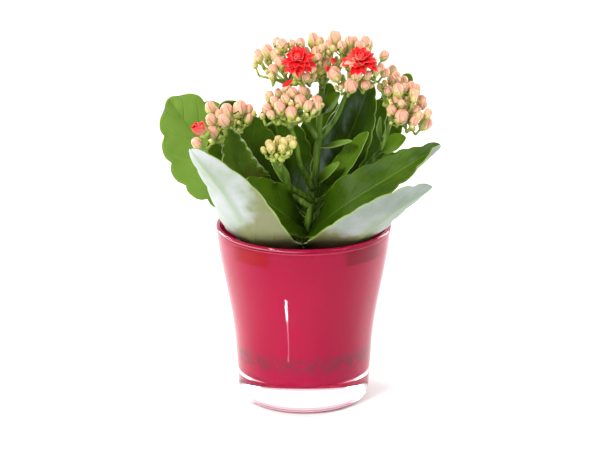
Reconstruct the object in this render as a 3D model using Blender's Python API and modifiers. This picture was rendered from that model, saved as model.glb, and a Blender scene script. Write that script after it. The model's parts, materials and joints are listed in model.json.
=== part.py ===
"""Potted kalanchoe: a flowering plant in its grow pot, inside a lacquered glass pot.

Metres, +Z up.  The origin is the centre of the glass pot's underside and -Y is the front.
Every sub-part is one named object.  The plant is drawn in millimetres from the point where
its stem leaves the soil, and place() stretches that drawing to the pot's mouth and the plant's
height.
"""
import math
from collections import namedtuple

import bmesh
import bpy
from mathutils import Matrix, Vector

MM = 0.001

# ---- pot, soil and fits ----------------------------------------------------------------------
POT_HEIGHT = 0.1025
RIM_RADIUS = 0.0500
FOOT_RADIUS = 0.0375
FOOT_ROUNDING = 0.0042
GLASS_WALL = 0.0024
GLASS_BASE = 0.0155
INNER_CORNER = 0.0050
LINING_WALL = 0.0005
LINING_BELOW_LIP = 0.0008
FIT = 0.0003                  # gap between pieces that touch
GROW_POT_CLEARANCE = 0.0030   # from the lining to the grow pot's rim, all round
GROW_POT_WALL = 0.0008
GROW_POT_RIM = 0.0020         # how far the grow pot's rim stands out from its wall
GROW_POT_TAPER = 0.0100       # how much smaller the grow pot is at its foot
GROW_POT_ABOVE_SOIL = 0.0040
DRAIN_RADIUS = 0.0040
SOIL_BELOW_LIP = 0.0185
SOIL_LUMPS = 0.0008
SOIL_RINGS = (0.008, 0.010, 0.010)   # widths of the rings that its top is cut into
ROOT_DEPTH = 0.0120
TURN_STEPS = 36

# ---- plant -----------------------------------------------------------------------------------
PLANT_HEIGHT = 0.1310         # from the soil to the highest bud
STEM_RADIUS = 0.0023
STALK_RADIUS = 0.0016
TIP_SHARE = 0.75              # a stem's radius at its upper end, as a share of its foot
LEAF_THICKNESS = 0.0018
BRACT_THICKNESS = 0.0009
SCALLOP = 0.05                # how deep a leaf's margin is notched, over its half width
CUP_POWER = 1.7               # how late a leaf's margin starts to rise
PETIOLE_WIDTH = 0.0036
BRACT_PETIOLE_WIDTH = 0.0016
BUD_RADIUS = 0.0037
BUD_STRETCH = 1.2             # a bud's length over its width
BRANCH_RADIUS = 0.0010
HUB_RADIUS = 0.0021           # the knot where a flower head's branches meet
BUD_TURN = 137.5              # degrees from one bud of a tuft to the next
FLOWER_RADIUS = 0.0092
FLOWER_DEPTH = 0.0080

DRAWN_MOUTH = 47.0            # the mouth's radius and the plant's height in the drawing, mm
DRAWN_HEIGHT = 131.0
DRAWN_LIP = 18.5              # the lip's height above the soil in the drawing, mm

# A stem's points run from its foot to the knot of its flower head.
Stem = namedtuple("Stem", "name parent points")
STEMS = [
    Stem("main_stem", None,
         [(0, 0, -11), (0, 0, 3), (3, -2, 21), (6, -3, 41), (8, -3, 64), (9, -2, 82), (10, -1, 97)]),
    Stem("stalk_top_left", "main_stem", [(3, -5, 70), (0, -6, 82), (-5, -6, 92), (-8, -5, 99)]),
    Stem("stalk_top_right", "main_stem", [(14, -1, 69), (18, 0, 80), (22, 1, 89), (25, 2, 96)]),
    Stem("stalk_centre", "main_stem", [(0, -8, 40), (-2, -13, 57), (-4, -17, 69), (-7, -19, 79)]),
    Stem("stalk_left", "main_stem", [(-5, 1, 29), (-17, 4, 40), (-33, 3, 54), (-44, -8, 67)]),
    Stem("stalk_low", "main_stem", [(-4, -11, 33), (-8, -19, 46), (-11, -24, 53), (-13, -27, 60)]),
    Stem("stalk_right", "main_stem", [(13, -1, 32), (28, -1, 46), (42, -1, 60), (49, -1, 78)]),
]

# A leaf's points run along its midrib, from beside its stem to its tip; face is where its upper
# side looks; width is in millimetres; cup is how far its margins rise, over half its width;
# fullest moves its widest place, toward the foot below 1 and toward the tip above it.
Leaf = namedtuple("Leaf", "name stem node points face width cup fullest")
LEAVES = [
    Leaf("leaf_front_left", "main_stem", 3,
         [(-16, -18, 8), (-28, -33, 19), (-42, -43, 48), (-61, -50, 76)], (0.45, 0.70, 0.50), 45,
         0.25, 0.8),
    Leaf("leaf_front_right", "main_stem", 4,
         [(15, -18, 8), (27, -33, 18), (47, -42, 37), (70, -43, 53)], (-0.36, 0.65, 0.62), 44, 0.25,
         0.8),
    Leaf("leaf_right_long", "main_stem", 11,
         [(12, -20, 26), (24, -27, 38), (45, -25, 51), (76, -21, 70)], (-0.24, -0.50, 0.80), 31,
         0.25, 0.75),
    Leaf("leaf_right_inner", "main_stem", 32,
         [(15, -7, 43), (26, -8, 58), (36, -8, 74)], (-0.50, -0.60, 0.50), 14, 0.45, 1.15),
    Leaf("leaf_left_inner", "main_stem", 15,
         [(-8, -16, 26), (-20, -22, 37), (-33, -23, 50)], (0.50, -0.45, 0.70), 34, 0.25, 1.0),
    Leaf("leaf_left_cupped", "main_stem", 20,
         [(-19, -3, 35), (-34, -10, 53), (-40, -15, 76)], (0.25, -0.90, 0.30), 21, 0.45, 1.6),
    Leaf("leaf_far_left", "main_stem", 8,
         [(-14, 7, 19), (-34, 17, 34), (-57, 24, 57), (-77, 20, 86)], (0.25, -0.90, 0.30), 53, 0.10,
         1.5),
    Leaf("leaf_left_back", "main_stem", 25,
         [(-18, 9, 38), (-36, 11, 60), (-45, 10, 87)], (0.20, -0.85, 0.30), 40, 0.15, 1.6),
    Leaf("leaf_back_inner", "main_stem", 20,
         [(-8, 18, 38), (-14, 24, 58), (-18, 24, 84)], (0.10, -0.90, 0.30), 34, 0.20, 1.2),
    Leaf("leaf_back_tall", "main_stem", 30,
         [(13, 10, 42), (25, 14, 63), (38, 13, 98)], (-0.30, -0.90, 0.20), 30, 0.35, 1.0),
    Leaf("leaf_back_right", "main_stem", 19,
         [(9, 12, 30), (22, 22, 46), (36, 26, 64), (45, 25, 84)], (-0.20, -0.80, 0.40), 28, 0.25, 1.2),
    Leaf("leaf_right_low", "main_stem", 16,
         [(20, 2, 25), (40, 3, 40), (62, 2, 60)], (-0.30, -0.55, 0.75), 24, 0.30, 1.2),
    Leaf("leaf_back_top_right", "main_stem", 12,
         [(14, 18, 22), (30, 31, 42), (48, 35, 68), (61, 30, 98)], (-0.30, -0.80, 0.30), 26, 0.25,
         1.4),
    Leaf("leaf_back_middle", "main_stem", 15,
         [(3, 22, 30), (8, 34, 56), (15, 37, 91)], (0.0, -0.90, 0.25), 24, 0.20, 1.3),
    Leaf("leaf_back_left_low", "main_stem", 6,
         [(-9, 25, 20), (-20, 44, 36), (-30, 58, 50)], (0.20, -0.40, 0.85), 34, 0.20, 1.2),
    Leaf("leaf_back_low", "main_stem", 4,
         [(9, 27, 14), (15, 47, 26), (19, 62, 38)], (0.0, -0.30, 0.95), 34, 0.15, 1.2),
    Leaf("leaf_back_right_low", "main_stem", 6,
         [(24, 16, 20), (46, 28, 34), (63, 38, 48)], (-0.30, -0.30, 0.85), 32, 0.20, 1.2),
    Leaf("leaf_right_spoon", "stalk_right", 60,
         [(48, -8, 65), (57, -12, 72)], (-0.30, -0.60, 0.60), 11, 0.40, 1.6),
    Leaf("bract_top", "main_stem", 83,
         [(14, -7, 89), (20, -9, 97)], (-0.50, -0.60, 0.40), 9, 0.30, 1.2),
    Leaf("bract_middle", "main_stem", 64,
         [(17, -8, 66), (27, -12, 70)], (-0.20, -0.30, 0.90), 6, 0.40, 1.0),
    Leaf("bract_low_right", "main_stem", 43,
         [(13, -10, 50), (20, -14, 58)], (-0.50, -0.50, 0.50), 7, 0.40, 1.0),
    Leaf("bract_low_left", "stalk_low", 44,
         [(-13, -17, 53), (-18, -17, 60)], (0.50, -0.60, 0.50), 8, 0.40, 1.0),
    Leaf("bract_thin", "stalk_right", 66,
         [(42, -4, 74), (43, -5, 82)], (0.50, -0.60, 0.20), 4, 0.30, 1.0),
]

# A flower head's tufts stand where its oldest buds are; the last number is how many buds.
Head = namedtuple("Head", "name stem tufts flowers")
HEADS = [
    Head("flower_head_top_left", "stalk_top_left",
         [(-22, 1, 116, 3), (-12, 6, 119, 3), (-14, -6, 115, 3), (-3, -13, 108, 3)],
         ["flower_left"]),
    Head("flower_head_top_middle", "main_stem",
         [(7, 0, 123, 3), (17, 4, 123, 3), (7, -14, 112, 1)], []),
    Head("flower_head_top_right", "stalk_top_right",
         [(26, 8, 120, 3), (34, 9, 117, 2), (18, -12, 108, 1), (29, -12, 106, 2), (26, -12, 101, 2),
          (35, -6, 102, 2), (41, 4, 106, 3)],
         ["flower_right"]),
    Head("flower_head_right", "stalk_right",
         [(49, 6, 104, 3), (46, -2, 97, 3), (53, -2, 96, 2), (60, 4, 95, 3), (52, -8, 91, 2),
          (59, -4, 89, 2), (49, -10, 88, 2), (54, -14, 84, 1), (62, -8, 86, 2), (67, 0, 86, 2),
          (61, -12, 81, 2), (68, -4, 78, 1)],
         []),
    Head("flower_head_centre", "stalk_centre",
         [(-19, -10, 95, 2), (-10, -12, 96, 3), (-13, -22, 92, 2), (-20, -20, 89, 3),
          (-7, -24, 90, 2), (-2, -18, 94, 2), (6, -19, 94, 3)],
         []),
    Head("flower_head_left", "stalk_left",
         [(-51, -16, 83, 2), (-45, -12, 86, 2), (-44, -18, 81, 1), (-36, -12, 87, 2),
          (-31, -9, 87, 2), (-49, -21, 76, 1), (-58, -21, 71, 2)],
         ["flower_half_open"]),
    Head("flower_head_low", "stalk_low",
         [(-19, -30, 71, 3), (-12, -30, 72, 3), (-7, -27, 73, 3)], []),
]

# An open flower: its centre, where it looks, its radius over FLOWER_RADIUS and its depth
# over FLOWER_DEPTH.
Flower = namedtuple("Flower", "name centre face spread depth")
FLOWERS = [
    Flower("flower_left", (-3, -20, 118), (-0.10, -0.60, 0.80), 1.05, 1.0),
    Flower("flower_right", (31, -18, 117), (0.10, -0.42, 0.90), 1.12, 1.0),
    Flower("flower_half_open", (-58, -30, 82), (-0.50, -0.55, 0.65), 0.60, 1.1),
]


# ---- scene and materials ---------------------------------------------------------------------
def clear_scene():
    for obj in list(bpy.data.objects):
        bpy.data.objects.remove(obj)


def new_collection(name):
    collection = bpy.data.collections.new(name)
    bpy.context.scene.collection.children.link(collection)
    return collection


def new_material(name, colour, roughness, transmission=0.0):
    material = bpy.data.materials.new(name)
    material.use_nodes = True
    shader = material.node_tree.nodes["Principled BSDF"]
    shader.inputs["Base Color"].default_value = (*colour, 1.0)
    shader.inputs["Roughness"].default_value = roughness
    shader.inputs["Metallic"].default_value = 0.0
    shader.inputs["Transmission Weight"].default_value = transmission
    material.diffuse_color = (*colour, 1.0)
    return material


def new_object(name, data, material, collection):
    obj = bpy.data.objects.new(name, data)
    data.materials.append(material)
    collection.objects.link(obj)
    return obj


def mesh_from(name, bm):
    bmesh.ops.recalc_face_normals(bm, faces=bm.faces)
    mesh = bpy.data.meshes.new(name)
    bm.to_mesh(mesh)
    bm.free()
    mesh.shade_smooth()
    return mesh


# ---- turned pieces ---------------------------------------------------------------------------
def turned(name, profile, material, collection):
    """A closed outline of (radius, height), from the axis round to the axis, turned about Z."""
    mesh = bpy.data.meshes.new(name)
    points = [(radius, 0.0, height) for radius, height in profile]
    mesh.from_pydata(points, [(i, i + 1) for i in range(len(points) - 1)], [])
    obj = new_object(name, mesh, material, collection)
    screw = obj.modifiers.new("turn", "SCREW")
    screw.steps = TURN_STEPS
    screw.render_steps = TURN_STEPS
    screw.use_merge_vertices = True
    screw.merge_threshold = 0.00001
    screw.use_smooth_shade = True
    return obj


def arc(centre_radius, centre_height, radius, start, end, steps):
    """Points on an arc in the turning plane; angles in degrees, 0 outwards and 90 upwards."""
    points = []
    for i in range(steps + 1):
        angle = math.radians(start + (end - start) * i / steps)
        points.append((centre_radius + radius * math.cos(angle),
                       centre_height + radius * math.sin(angle)))
    return points


def glass_radius(height):
    """The glass pot's outer radius: nearly straight low down, then flaring to the rim."""
    share = min(max(height / POT_HEIGHT, 0.0), 1.0)
    flare = min(max((share - 0.3) / 0.7, 0.0), 1.0)
    smooth = flare * flare * (3.0 - 2.0 * flare)
    return FOOT_RADIUS + (RIM_RADIUS - FOOT_RADIUS) * (0.5 * share + 0.5 * smooth)


def wall_heights(low, high, steps=5):
    return [low + (high - low) * i / steps for i in range(steps + 1)]


def cup_profile(floor_low, floor_high, top, outer_inset, wall, corner_low, corner_high):
    """A cup that follows the glass pot's side, its outer wall outer_inset inside the glass."""
    inner_inset = outer_inset + wall
    rounding = wall / 2.0
    crest = top - rounding
    profile = [(0.0, floor_high)]
    inner_foot = glass_radius(floor_high + corner_high) - inner_inset
    profile += arc(inner_foot - corner_high, floor_high + corner_high, corner_high, -90, 0, 2)
    profile += [(glass_radius(z) - inner_inset, z)
                for z in wall_heights(floor_high + corner_high, crest)[1:]]
    profile += arc(glass_radius(crest) - inner_inset + rounding, crest, rounding, 180, 0, 3)[1:]
    profile += [(glass_radius(z) - outer_inset, z)
                for z in reversed(wall_heights(floor_low + corner_low, crest)[:-1])]
    outer_foot = glass_radius(floor_low + corner_low) - outer_inset
    profile += arc(outer_foot - corner_low, floor_low + corner_low, corner_low, 0, -90, 3)[1:]
    profile.append((0.0, floor_low))
    return profile


def lining_floor():
    return GLASS_BASE + FIT + LINING_WALL


def lip_inner_radius():
    return RIM_RADIUS - GLASS_WALL - FIT - LINING_WALL


def soil_level():
    return POT_HEIGHT - SOIL_BELOW_LIP


def grow_pot_top():
    return soil_level() + GROW_POT_ABOVE_SOIL


def grow_pot_radius(height):
    """The grow pot's outer wall, a plain cone below its rim."""
    top = grow_pot_top()
    rim = glass_radius(top) - GLASS_WALL - FIT - LINING_WALL - GROW_POT_CLEARANCE
    foot = lining_floor() + FIT
    return rim - GROW_POT_RIM - GROW_POT_TAPER * (top - height) / (top - foot)


def make_glass_pot(materials, parts):
    profile = cup_profile(0.0, GLASS_BASE, POT_HEIGHT, 0.0, GLASS_WALL, FOOT_ROUNDING, INNER_CORNER)
    return turned("glass_pot", profile, materials["glass"], parts)


def make_lining(materials, parts):
    inset = GLASS_WALL + FIT
    profile = cup_profile(GLASS_BASE + FIT, lining_floor(), POT_HEIGHT - LINING_BELOW_LIP, inset,
                          LINING_WALL, INNER_CORNER, INNER_CORNER - LINING_WALL)
    return turned("red_lining", profile, materials["lacquer"], parts)


def make_grow_pot(materials, parts):
    top = grow_pot_top()
    foot = lining_floor() + FIT
    floor = foot + GROW_POT_WALL
    rim_depth = 2.0 * GROW_POT_RIM
    profile = [
        (DRAIN_RADIUS, floor),
        (grow_pot_radius(floor) - GROW_POT_WALL, floor),
        (grow_pot_radius(top) - GROW_POT_WALL, top),
        (grow_pot_radius(top) + GROW_POT_RIM, top),
        (grow_pot_radius(top) + GROW_POT_RIM, top - rim_depth),
        (grow_pot_radius(top - rim_depth), top - rim_depth),
        (grow_pot_radius(foot), foot),
        (DRAIN_RADIUS, foot),
        (DRAIN_RADIUS, floor),
    ]
    return turned("grow_pot", profile, materials["grow_pot"], parts)


def make_soil(materials, parts, cutters):
    """The root ball: a cone that fills the grow pot, lumpy on top, with a hole for the stem."""
    low = lining_floor() + FIT + GROW_POT_WALL + FIT
    high = soil_level()
    inset = GROW_POT_WALL + FIT
    bm = bmesh.new()
    bmesh.ops.create_cone(bm, cap_ends=True, cap_tris=False, segments=TURN_STEPS,
                          radius1=grow_pot_radius(low) - inset,
                          radius2=grow_pot_radius(high) - inset,
                          depth=high - low, matrix=Matrix.Translation((0, 0, (low + high) / 2)))
    top = max(bm.faces, key=lambda face: face.calc_center_median().z)
    for inset_width in SOIL_RINGS:
        bmesh.ops.inset_region(bm, faces=[top], thickness=inset_width)
    for vert in bm.verts:
        if abs(vert.co.z - high) < 0.1 * MM:
            lump = math.sin(260.0 * vert.co.x) * math.cos(310.0 * vert.co.y)
            vert.co.z += SOIL_LUMPS * (lump - 1.0)
    soil = new_object("potting_soil", mesh_from("potting_soil", bm), materials["soil"], parts)
    bm = bmesh.new()
    depth = ROOT_DEPTH * 2.0
    bmesh.ops.create_cone(bm, cap_ends=True, segments=12, radius1=STEM_RADIUS + 2.0 * FIT,
                          radius2=STEM_RADIUS + 2.0 * FIT, depth=depth,
                          matrix=Matrix.Translation((0, 0, high)))
    hole = new_object("stem_hole_cutter", mesh_from("stem_hole_cutter", bm), materials["soil"],
                      cutters)
    hide_cutter(hole)
    boolean = soil.modifiers.new("stem_hole", "BOOLEAN")
    boolean.operation = "DIFFERENCE"
    boolean.object = hole
    return soil


def hide_cutter(obj):
    obj.hide_render = True
    obj.display_type = "WIRE"


# ---- the plant's drawing ---------------------------------------------------------------------
def place(x, y, z):
    """A point of the drawing, in millimetres from the stem's foot, as a point of the model."""
    sideways = lip_inner_radius() / DRAWN_MOUTH
    lip = SOIL_BELOW_LIP
    if z > DRAWN_LIP:
        rise = (PLANT_HEIGHT - lip) / (DRAWN_HEIGHT - DRAWN_LIP)
        height = lip + (z - DRAWN_LIP) * rise
    else:
        height = z * lip / DRAWN_LIP
    return Vector((x * sideways, y * sideways, soil_level() + height))


def smooth_path(points, steps):
    """A Catmull-Rom curve through the points, steps segments between each two of them."""
    ends = [2.0 * points[0] - points[1]] + list(points) + [2.0 * points[-1] - points[-2]]
    path = []
    for p0, p1, p2, p3 in zip(ends, ends[1:], ends[2:], ends[3:]):
        for i in range(steps):
            t = i / steps
            path.append(0.5 * (2.0 * p1 + (p2 - p0) * t
                               + (2.0 * p0 - 5.0 * p1 + 4.0 * p2 - p3) * t * t
                               + (3.0 * p1 - p0 - 3.0 * p2 + p3) * t ** 3))
    path.append(points[-1].copy())
    return path


def along(path, share):
    """The point a share of the way along a path, by length."""
    lengths = [0.0]
    for a, b in zip(path, path[1:]):
        lengths.append(lengths[-1] + (b - a).length)
    wanted = share * lengths[-1]
    for i in range(len(path) - 1):
        if lengths[i + 1] >= wanted:
            part = (wanted - lengths[i]) / (lengths[i + 1] - lengths[i])
            return path[i].lerp(path[i + 1], part)
    return path[-1].copy()


def at_height(path, height):
    """The point of a rising path at a height."""
    for a, b in zip(path, path[1:]):
        if a.z <= height <= b.z:
            return a.lerp(b, (height - a.z) / (b.z - a.z))
    return path[-1].copy()


def beside(path, height, toward, distance):
    """A point level with the path's axis at a height, a distance from it toward another."""
    centre = at_height(path, height)
    direction = Vector((toward.x - centre.x, toward.y - centre.y, 0.0)).normalized()
    return centre + direction * distance


def stem_paths():
    """Each stem's axis.  A side stalk starts beside its parent, at the height of its foot."""
    paths = {}
    for stem in STEMS:
        points = [place(*point) for point in stem.points]
        if stem.parent:
            radius = stem_radius(stem)
            points[0] = beside(paths[stem.parent], points[0].z, points[1],
                               STEM_RADIUS + FIT + radius)
        paths[stem.name] = smooth_path(points, 2)
    return paths


def stem_radius(stem):
    return STALK_RADIUS if stem.parent else STEM_RADIUS


def make_stem(stem, path, materials, parts):
    curve = bpy.data.curves.new(stem.name, "CURVE")
    curve.dimensions = "3D"
    curve.bevel_depth = stem_radius(stem)
    curve.bevel_resolution = 2
    curve.use_fill_caps = True
    spline = curve.splines.new("POLY")
    spline.points.add(len(path) - 1)
    for i, point in enumerate(path):
        spline.points[i].co = (*point, 1.0)
        spline.points[i].radius = 1.0 + (TIP_SHARE - 1.0) * i / (len(path) - 1)
    return new_object(stem.name, curve, materials["stem"], parts)


# ---- leaves ----------------------------------------------------------------------------------
def blade_share(t, fullest):
    """A blade's half width over its widest: a narrow wedge at its foot (0), blunt at its tip (1)."""
    if not 0.0 < t < 1.0:
        return 0.0
    along_blade = t ** fullest
    return math.sin(math.pi * along_blade) ** (1.1 - 0.6 * along_blade)


def make_leaf(leaf, paths, materials, parts):
    """A grid bent along the midrib, cupped across it and scalloped at its margins."""
    small = leaf.name.startswith("bract") or leaf.width < 15
    thickness = BRACT_THICKNESS if small else LEAF_THICKNESS
    petiole = (BRACT_PETIOLE_WIDTH if small else PETIOLE_WIDTH) / 2.0
    across, rows = (2, 6) if small else (4, 12)
    points = [place(*point) for point in leaf.points]
    stem_path = paths[leaf.stem]
    stem_size = STEM_RADIUS if leaf.stem == "main_stem" else STALK_RADIUS
    foot_height = place(0, 0, leaf.node).z
    foot = beside(stem_path, foot_height, points[0], stem_size + FIT + thickness)
    midrib = smooth_path([foot] + points, 6)
    face = Vector(leaf.face)
    half = leaf.width * MM / 2.0

    bm = bmesh.new()
    bmesh.ops.create_grid(bm, x_segments=across, y_segments=rows, size=1.0)
    for vert in bm.verts:
        side_share = vert.co.x
        row = round((vert.co.y + 1.0) / 2.0 * rows)
        t = 0.5 - 0.5 * math.cos(math.pi * row / rows)
        centre = along(midrib, t)
        tangent = (along(midrib, min(t + 0.02, 1.0)) - along(midrib, max(t - 0.02, 0.0))).normalized()
        normal = (face - tangent * face.dot(tangent)).normalized()
        side = tangent.cross(normal)
        width = max(half * blade_share(t, leaf.fullest), petiole if t < 0.5 else thickness)
        scallop = 1.0 - SCALLOP * (row % 2) * abs(side_share)
        rise = leaf.cup * width * abs(side_share) ** CUP_POWER
        vert.co = centre + side * (width * scallop * side_share) + normal * rise
    obj = new_object(leaf.name, mesh_from(leaf.name, bm), materials["leaf"], parts)
    solidify = obj.modifiers.new("thickness", "SOLIDIFY")
    solidify.thickness = thickness
    solidify.offset = 0.0
    return obj


# ---- flower heads and flowers ----------------------------------------------------------------
def turn_to(direction):
    return direction.to_track_quat("Z", "Y").to_matrix().to_4x4()


def add_stick(bm, start, end, radius):
    """A five-sided twig from one point to another."""
    middle = (start + end) / 2.0
    matrix = Matrix.Translation(middle) @ turn_to(end - start)
    bmesh.ops.create_cone(bm, cap_ends=True, segments=5, radius1=radius, radius2=radius,
                          depth=(end - start).length, matrix=matrix)


def add_bud(bm, centre, direction, radius):
    stretch = Matrix.Diagonal((radius, radius, radius * BUD_STRETCH, 1.0))
    bmesh.ops.create_icosphere(bm, subdivisions=1, radius=1.08,
                               matrix=Matrix.Translation(centre) @ turn_to(direction) @ stretch)


def tuft_buds(tuft, hub, count):
    """The buds of one tuft: an old one in the middle and younger, smaller ones beside it."""
    outward = (tuft - hub).normalized()
    sideways = outward.cross(Vector((0.3, 1.0, 0.2))).normalized()
    buds = [(tuft, outward, BUD_RADIUS)]
    for i in range(1, count):
        turn = Matrix.Rotation(math.radians(BUD_TURN * i + 40.0), 3, outward)
        lean = turn @ sideways
        radius = BUD_RADIUS * (0.86 - 0.10 * i)
        spot = tuft + lean * (BUD_RADIUS + 0.55 * radius) - outward * 0.5 * radius
        buds.append((spot, (outward + 0.5 * lean).normalized(), radius))
    return buds


def make_head(head, paths, flowers, materials, parts, cutters):
    """Buds on short twigs that spring from a knot at the stalk's end, as one solid."""
    path = paths[head.stem]
    rise = (path[-1] - path[-2]).normalized()
    hub = path[-1] + rise * (FIT + HUB_RADIUS)
    bm = bmesh.new()
    for x, y, z, count in head.tufts:
        tuft = place(x, y, z)
        add_stick(bm, hub, tuft, BRANCH_RADIUS)
        for centre, direction, radius in tuft_buds(tuft, hub, count):
            add_bud(bm, centre, direction, radius)
    for name in head.flowers:
        flower = flowers[name]
        foot = place(*flower.centre) - Vector(flower.face).normalized() * flower_back(flower)
        back = (hub - foot).normalized()
        add_stick(bm, hub, foot + back * FIT * 3.0, BRANCH_RADIUS)
    obj = new_object(head.name, mesh_from(head.name, bm), materials["bud"], parts)

    bm = bmesh.new()
    bmesh.ops.create_uvsphere(bm, u_segments=8, v_segments=6, radius=HUB_RADIUS,
                              matrix=Matrix.Translation(hub))
    knot = new_object(head.name + "_knot", mesh_from(head.name + "_knot", bm), materials["bud"],
                      cutters)
    hide_cutter(knot)
    union = obj.modifiers.new("join", "BOOLEAN")
    union.operation = "UNION"
    union.use_self = True
    union.object = knot
    return obj


def flower_back(flower):
    return FLOWER_DEPTH * flower.depth


def make_flower(flower, materials, parts):
    """A lobed rosette on a short green cup: a ball whose rings take the flower's outline."""
    radius = FLOWER_RADIUS * flower.spread
    depth = flower_back(flower)
    outline = [(0.0, 0.10), (0.45, 0.28), (0.85, 0.25), (1.0, 0.10), (0.80, -0.12), (0.45, -0.35),
               (0.20, -0.60), (0.12, -0.85), (0.0, -1.0)]
    rings = len(outline) - 1
    matrix = Matrix.Translation(place(*flower.centre)) @ turn_to(Vector(flower.face))
    bm = bmesh.new()
    bmesh.ops.create_uvsphere(bm, u_segments=12, v_segments=rings, radius=1.0)
    for vert in bm.verts:
        ring = round(math.acos(max(-1.0, min(1.0, vert.co.z))) / math.pi * rings)
        angle = math.atan2(vert.co.y, vert.co.x)
        share, height = outline[ring]
        lobe = 1.0 + 0.06 * math.cos(6.0 * angle)
        spot = Vector((share * radius * lobe * math.cos(angle),
                       share * radius * lobe * math.sin(angle), height * depth))
        vert.co = matrix @ spot
    return new_object(flower.name, mesh_from(flower.name, bm), materials["petal"], parts)


# ---- build -----------------------------------------------------------------------------------
def make_materials():
    return {
        "glass": new_material("clear_glass", (0.95, 0.96, 0.97), 0.02, transmission=1.0),
        "lacquer": new_material("red_lacquer", (0.52, 0.01, 0.05), 0.12),
        "grow_pot": new_material("grow_pot_plastic", (0.05, 0.05, 0.05), 0.45),
        "soil": new_material("peat_soil", (0.05, 0.03, 0.02), 0.95),
        "stem": new_material("green_stem", (0.14, 0.30, 0.04), 0.40),
        "leaf": new_material("waxy_leaf", (0.05, 0.20, 0.03), 0.35),
        "bud": new_material("peach_bud", (0.80, 0.52, 0.36), 0.45),
        "petal": new_material("red_petal", (0.80, 0.01, 0.01), 0.40),
    }


def main():
    clear_scene()
    parts = new_collection("potted_kalanchoe")
    cutters = new_collection("cutters")
    materials = make_materials()
    make_glass_pot(materials, parts)
    make_lining(materials, parts)
    make_grow_pot(materials, parts)
    make_soil(materials, parts, cutters)
    paths = stem_paths()
    for stem in STEMS:
        make_stem(stem, paths[stem.name], materials, parts)
    for leaf in LEAVES:
        make_leaf(leaf, paths, materials, parts)
    flowers = {flower.name: flower for flower in FLOWERS}
    for head in HEADS:
        make_head(head, paths, flowers, materials, parts, cutters)
    for flower in FLOWERS:
        make_flower(flower, materials, parts)


main()
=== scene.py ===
# %% [markdown]
# # A kalanchoe in a lacquered glass pot
#
# The object is a small flowering house plant. It stands in its own plastic nursery pot, and
# that stands in a decorative glass pot whose inside is lacquered red. This lesson takes the
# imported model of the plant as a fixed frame, and builds the looks around it: clear glass, thick
# waxy leaves, peach buds and two open red flowers.
#
# Everything is in metres, with Z up, and the origin is the middle of the glass pot's underside.

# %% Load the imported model
import json
import math
import random
from collections import namedtuple

import bmesh
import bpy
from mathutils import Matrix, Vector, noise

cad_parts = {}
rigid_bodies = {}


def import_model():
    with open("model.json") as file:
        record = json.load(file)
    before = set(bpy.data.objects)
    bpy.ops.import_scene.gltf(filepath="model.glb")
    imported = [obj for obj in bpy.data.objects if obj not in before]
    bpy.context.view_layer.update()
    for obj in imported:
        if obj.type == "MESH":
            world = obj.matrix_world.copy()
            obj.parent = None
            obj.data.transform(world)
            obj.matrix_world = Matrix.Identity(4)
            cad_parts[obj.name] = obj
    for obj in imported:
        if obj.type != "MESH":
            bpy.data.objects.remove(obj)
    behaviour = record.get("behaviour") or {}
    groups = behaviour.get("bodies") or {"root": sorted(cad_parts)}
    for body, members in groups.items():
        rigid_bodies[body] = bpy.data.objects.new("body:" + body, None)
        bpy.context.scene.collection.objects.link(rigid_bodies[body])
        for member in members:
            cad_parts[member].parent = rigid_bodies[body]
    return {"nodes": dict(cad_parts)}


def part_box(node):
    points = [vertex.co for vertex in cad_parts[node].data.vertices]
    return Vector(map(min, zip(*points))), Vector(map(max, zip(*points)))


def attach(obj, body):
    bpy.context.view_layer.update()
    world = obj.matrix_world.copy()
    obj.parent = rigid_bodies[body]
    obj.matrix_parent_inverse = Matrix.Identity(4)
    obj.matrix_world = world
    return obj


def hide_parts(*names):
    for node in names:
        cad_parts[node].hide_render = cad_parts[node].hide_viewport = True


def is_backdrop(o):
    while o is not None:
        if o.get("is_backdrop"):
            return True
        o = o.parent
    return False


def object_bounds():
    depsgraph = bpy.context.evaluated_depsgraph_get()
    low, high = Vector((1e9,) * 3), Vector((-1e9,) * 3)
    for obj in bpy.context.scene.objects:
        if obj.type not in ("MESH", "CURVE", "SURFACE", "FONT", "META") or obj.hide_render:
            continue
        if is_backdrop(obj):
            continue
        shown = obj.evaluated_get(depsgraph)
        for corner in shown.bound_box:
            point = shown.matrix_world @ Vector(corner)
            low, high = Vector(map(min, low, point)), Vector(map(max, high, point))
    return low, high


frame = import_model()
cad_box = [list(corner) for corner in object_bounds()]
print("nodes:", len(frame["nodes"]), "box:", [[round(x, 4) for x in c] for c in cad_box])

# %% [markdown]
# ## Sizes shared with the model
#
# The pieces below replace plain solids, so they must sit exactly where those solids sit. The
# same sizes make both. Each one has a name here, and the print at the end of the cell checks
# the most important ones against the boxes of the solids.

# %% Sizes
MM = 0.001
POT_HEIGHT = 0.1025
RIM_RADIUS = 0.0500
FOOT_RADIUS = 0.0375
FOOT_ROUNDING = 0.0042
GLASS_WALL = 0.0024
GLASS_BASE = 0.0155
INNER_CORNER = 0.0050
LINING_WALL = 0.0005
LINING_BELOW_LIP = 0.0008
FIT = 0.0003
SOIL_BELOW_LIP = 0.0185
SOIL_LEVEL = POT_HEIGHT - SOIL_BELOW_LIP
PLANT_HEIGHT = 0.1310
STEM_RADIUS = 0.0023
STALK_RADIUS = 0.0016
TIP_SHARE = 0.75
LEAF_THICKNESS = 0.0018
BRACT_THICKNESS = 0.0009
BRACT_WIDTH = 15              # millimetres; a narrower leaf is a bract

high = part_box("glass_pot")[1]
print("pot height", round(high.z, 4), "of", POT_HEIGHT, "rim", round(high.x, 4), "of", RIM_RADIUS)
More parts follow.
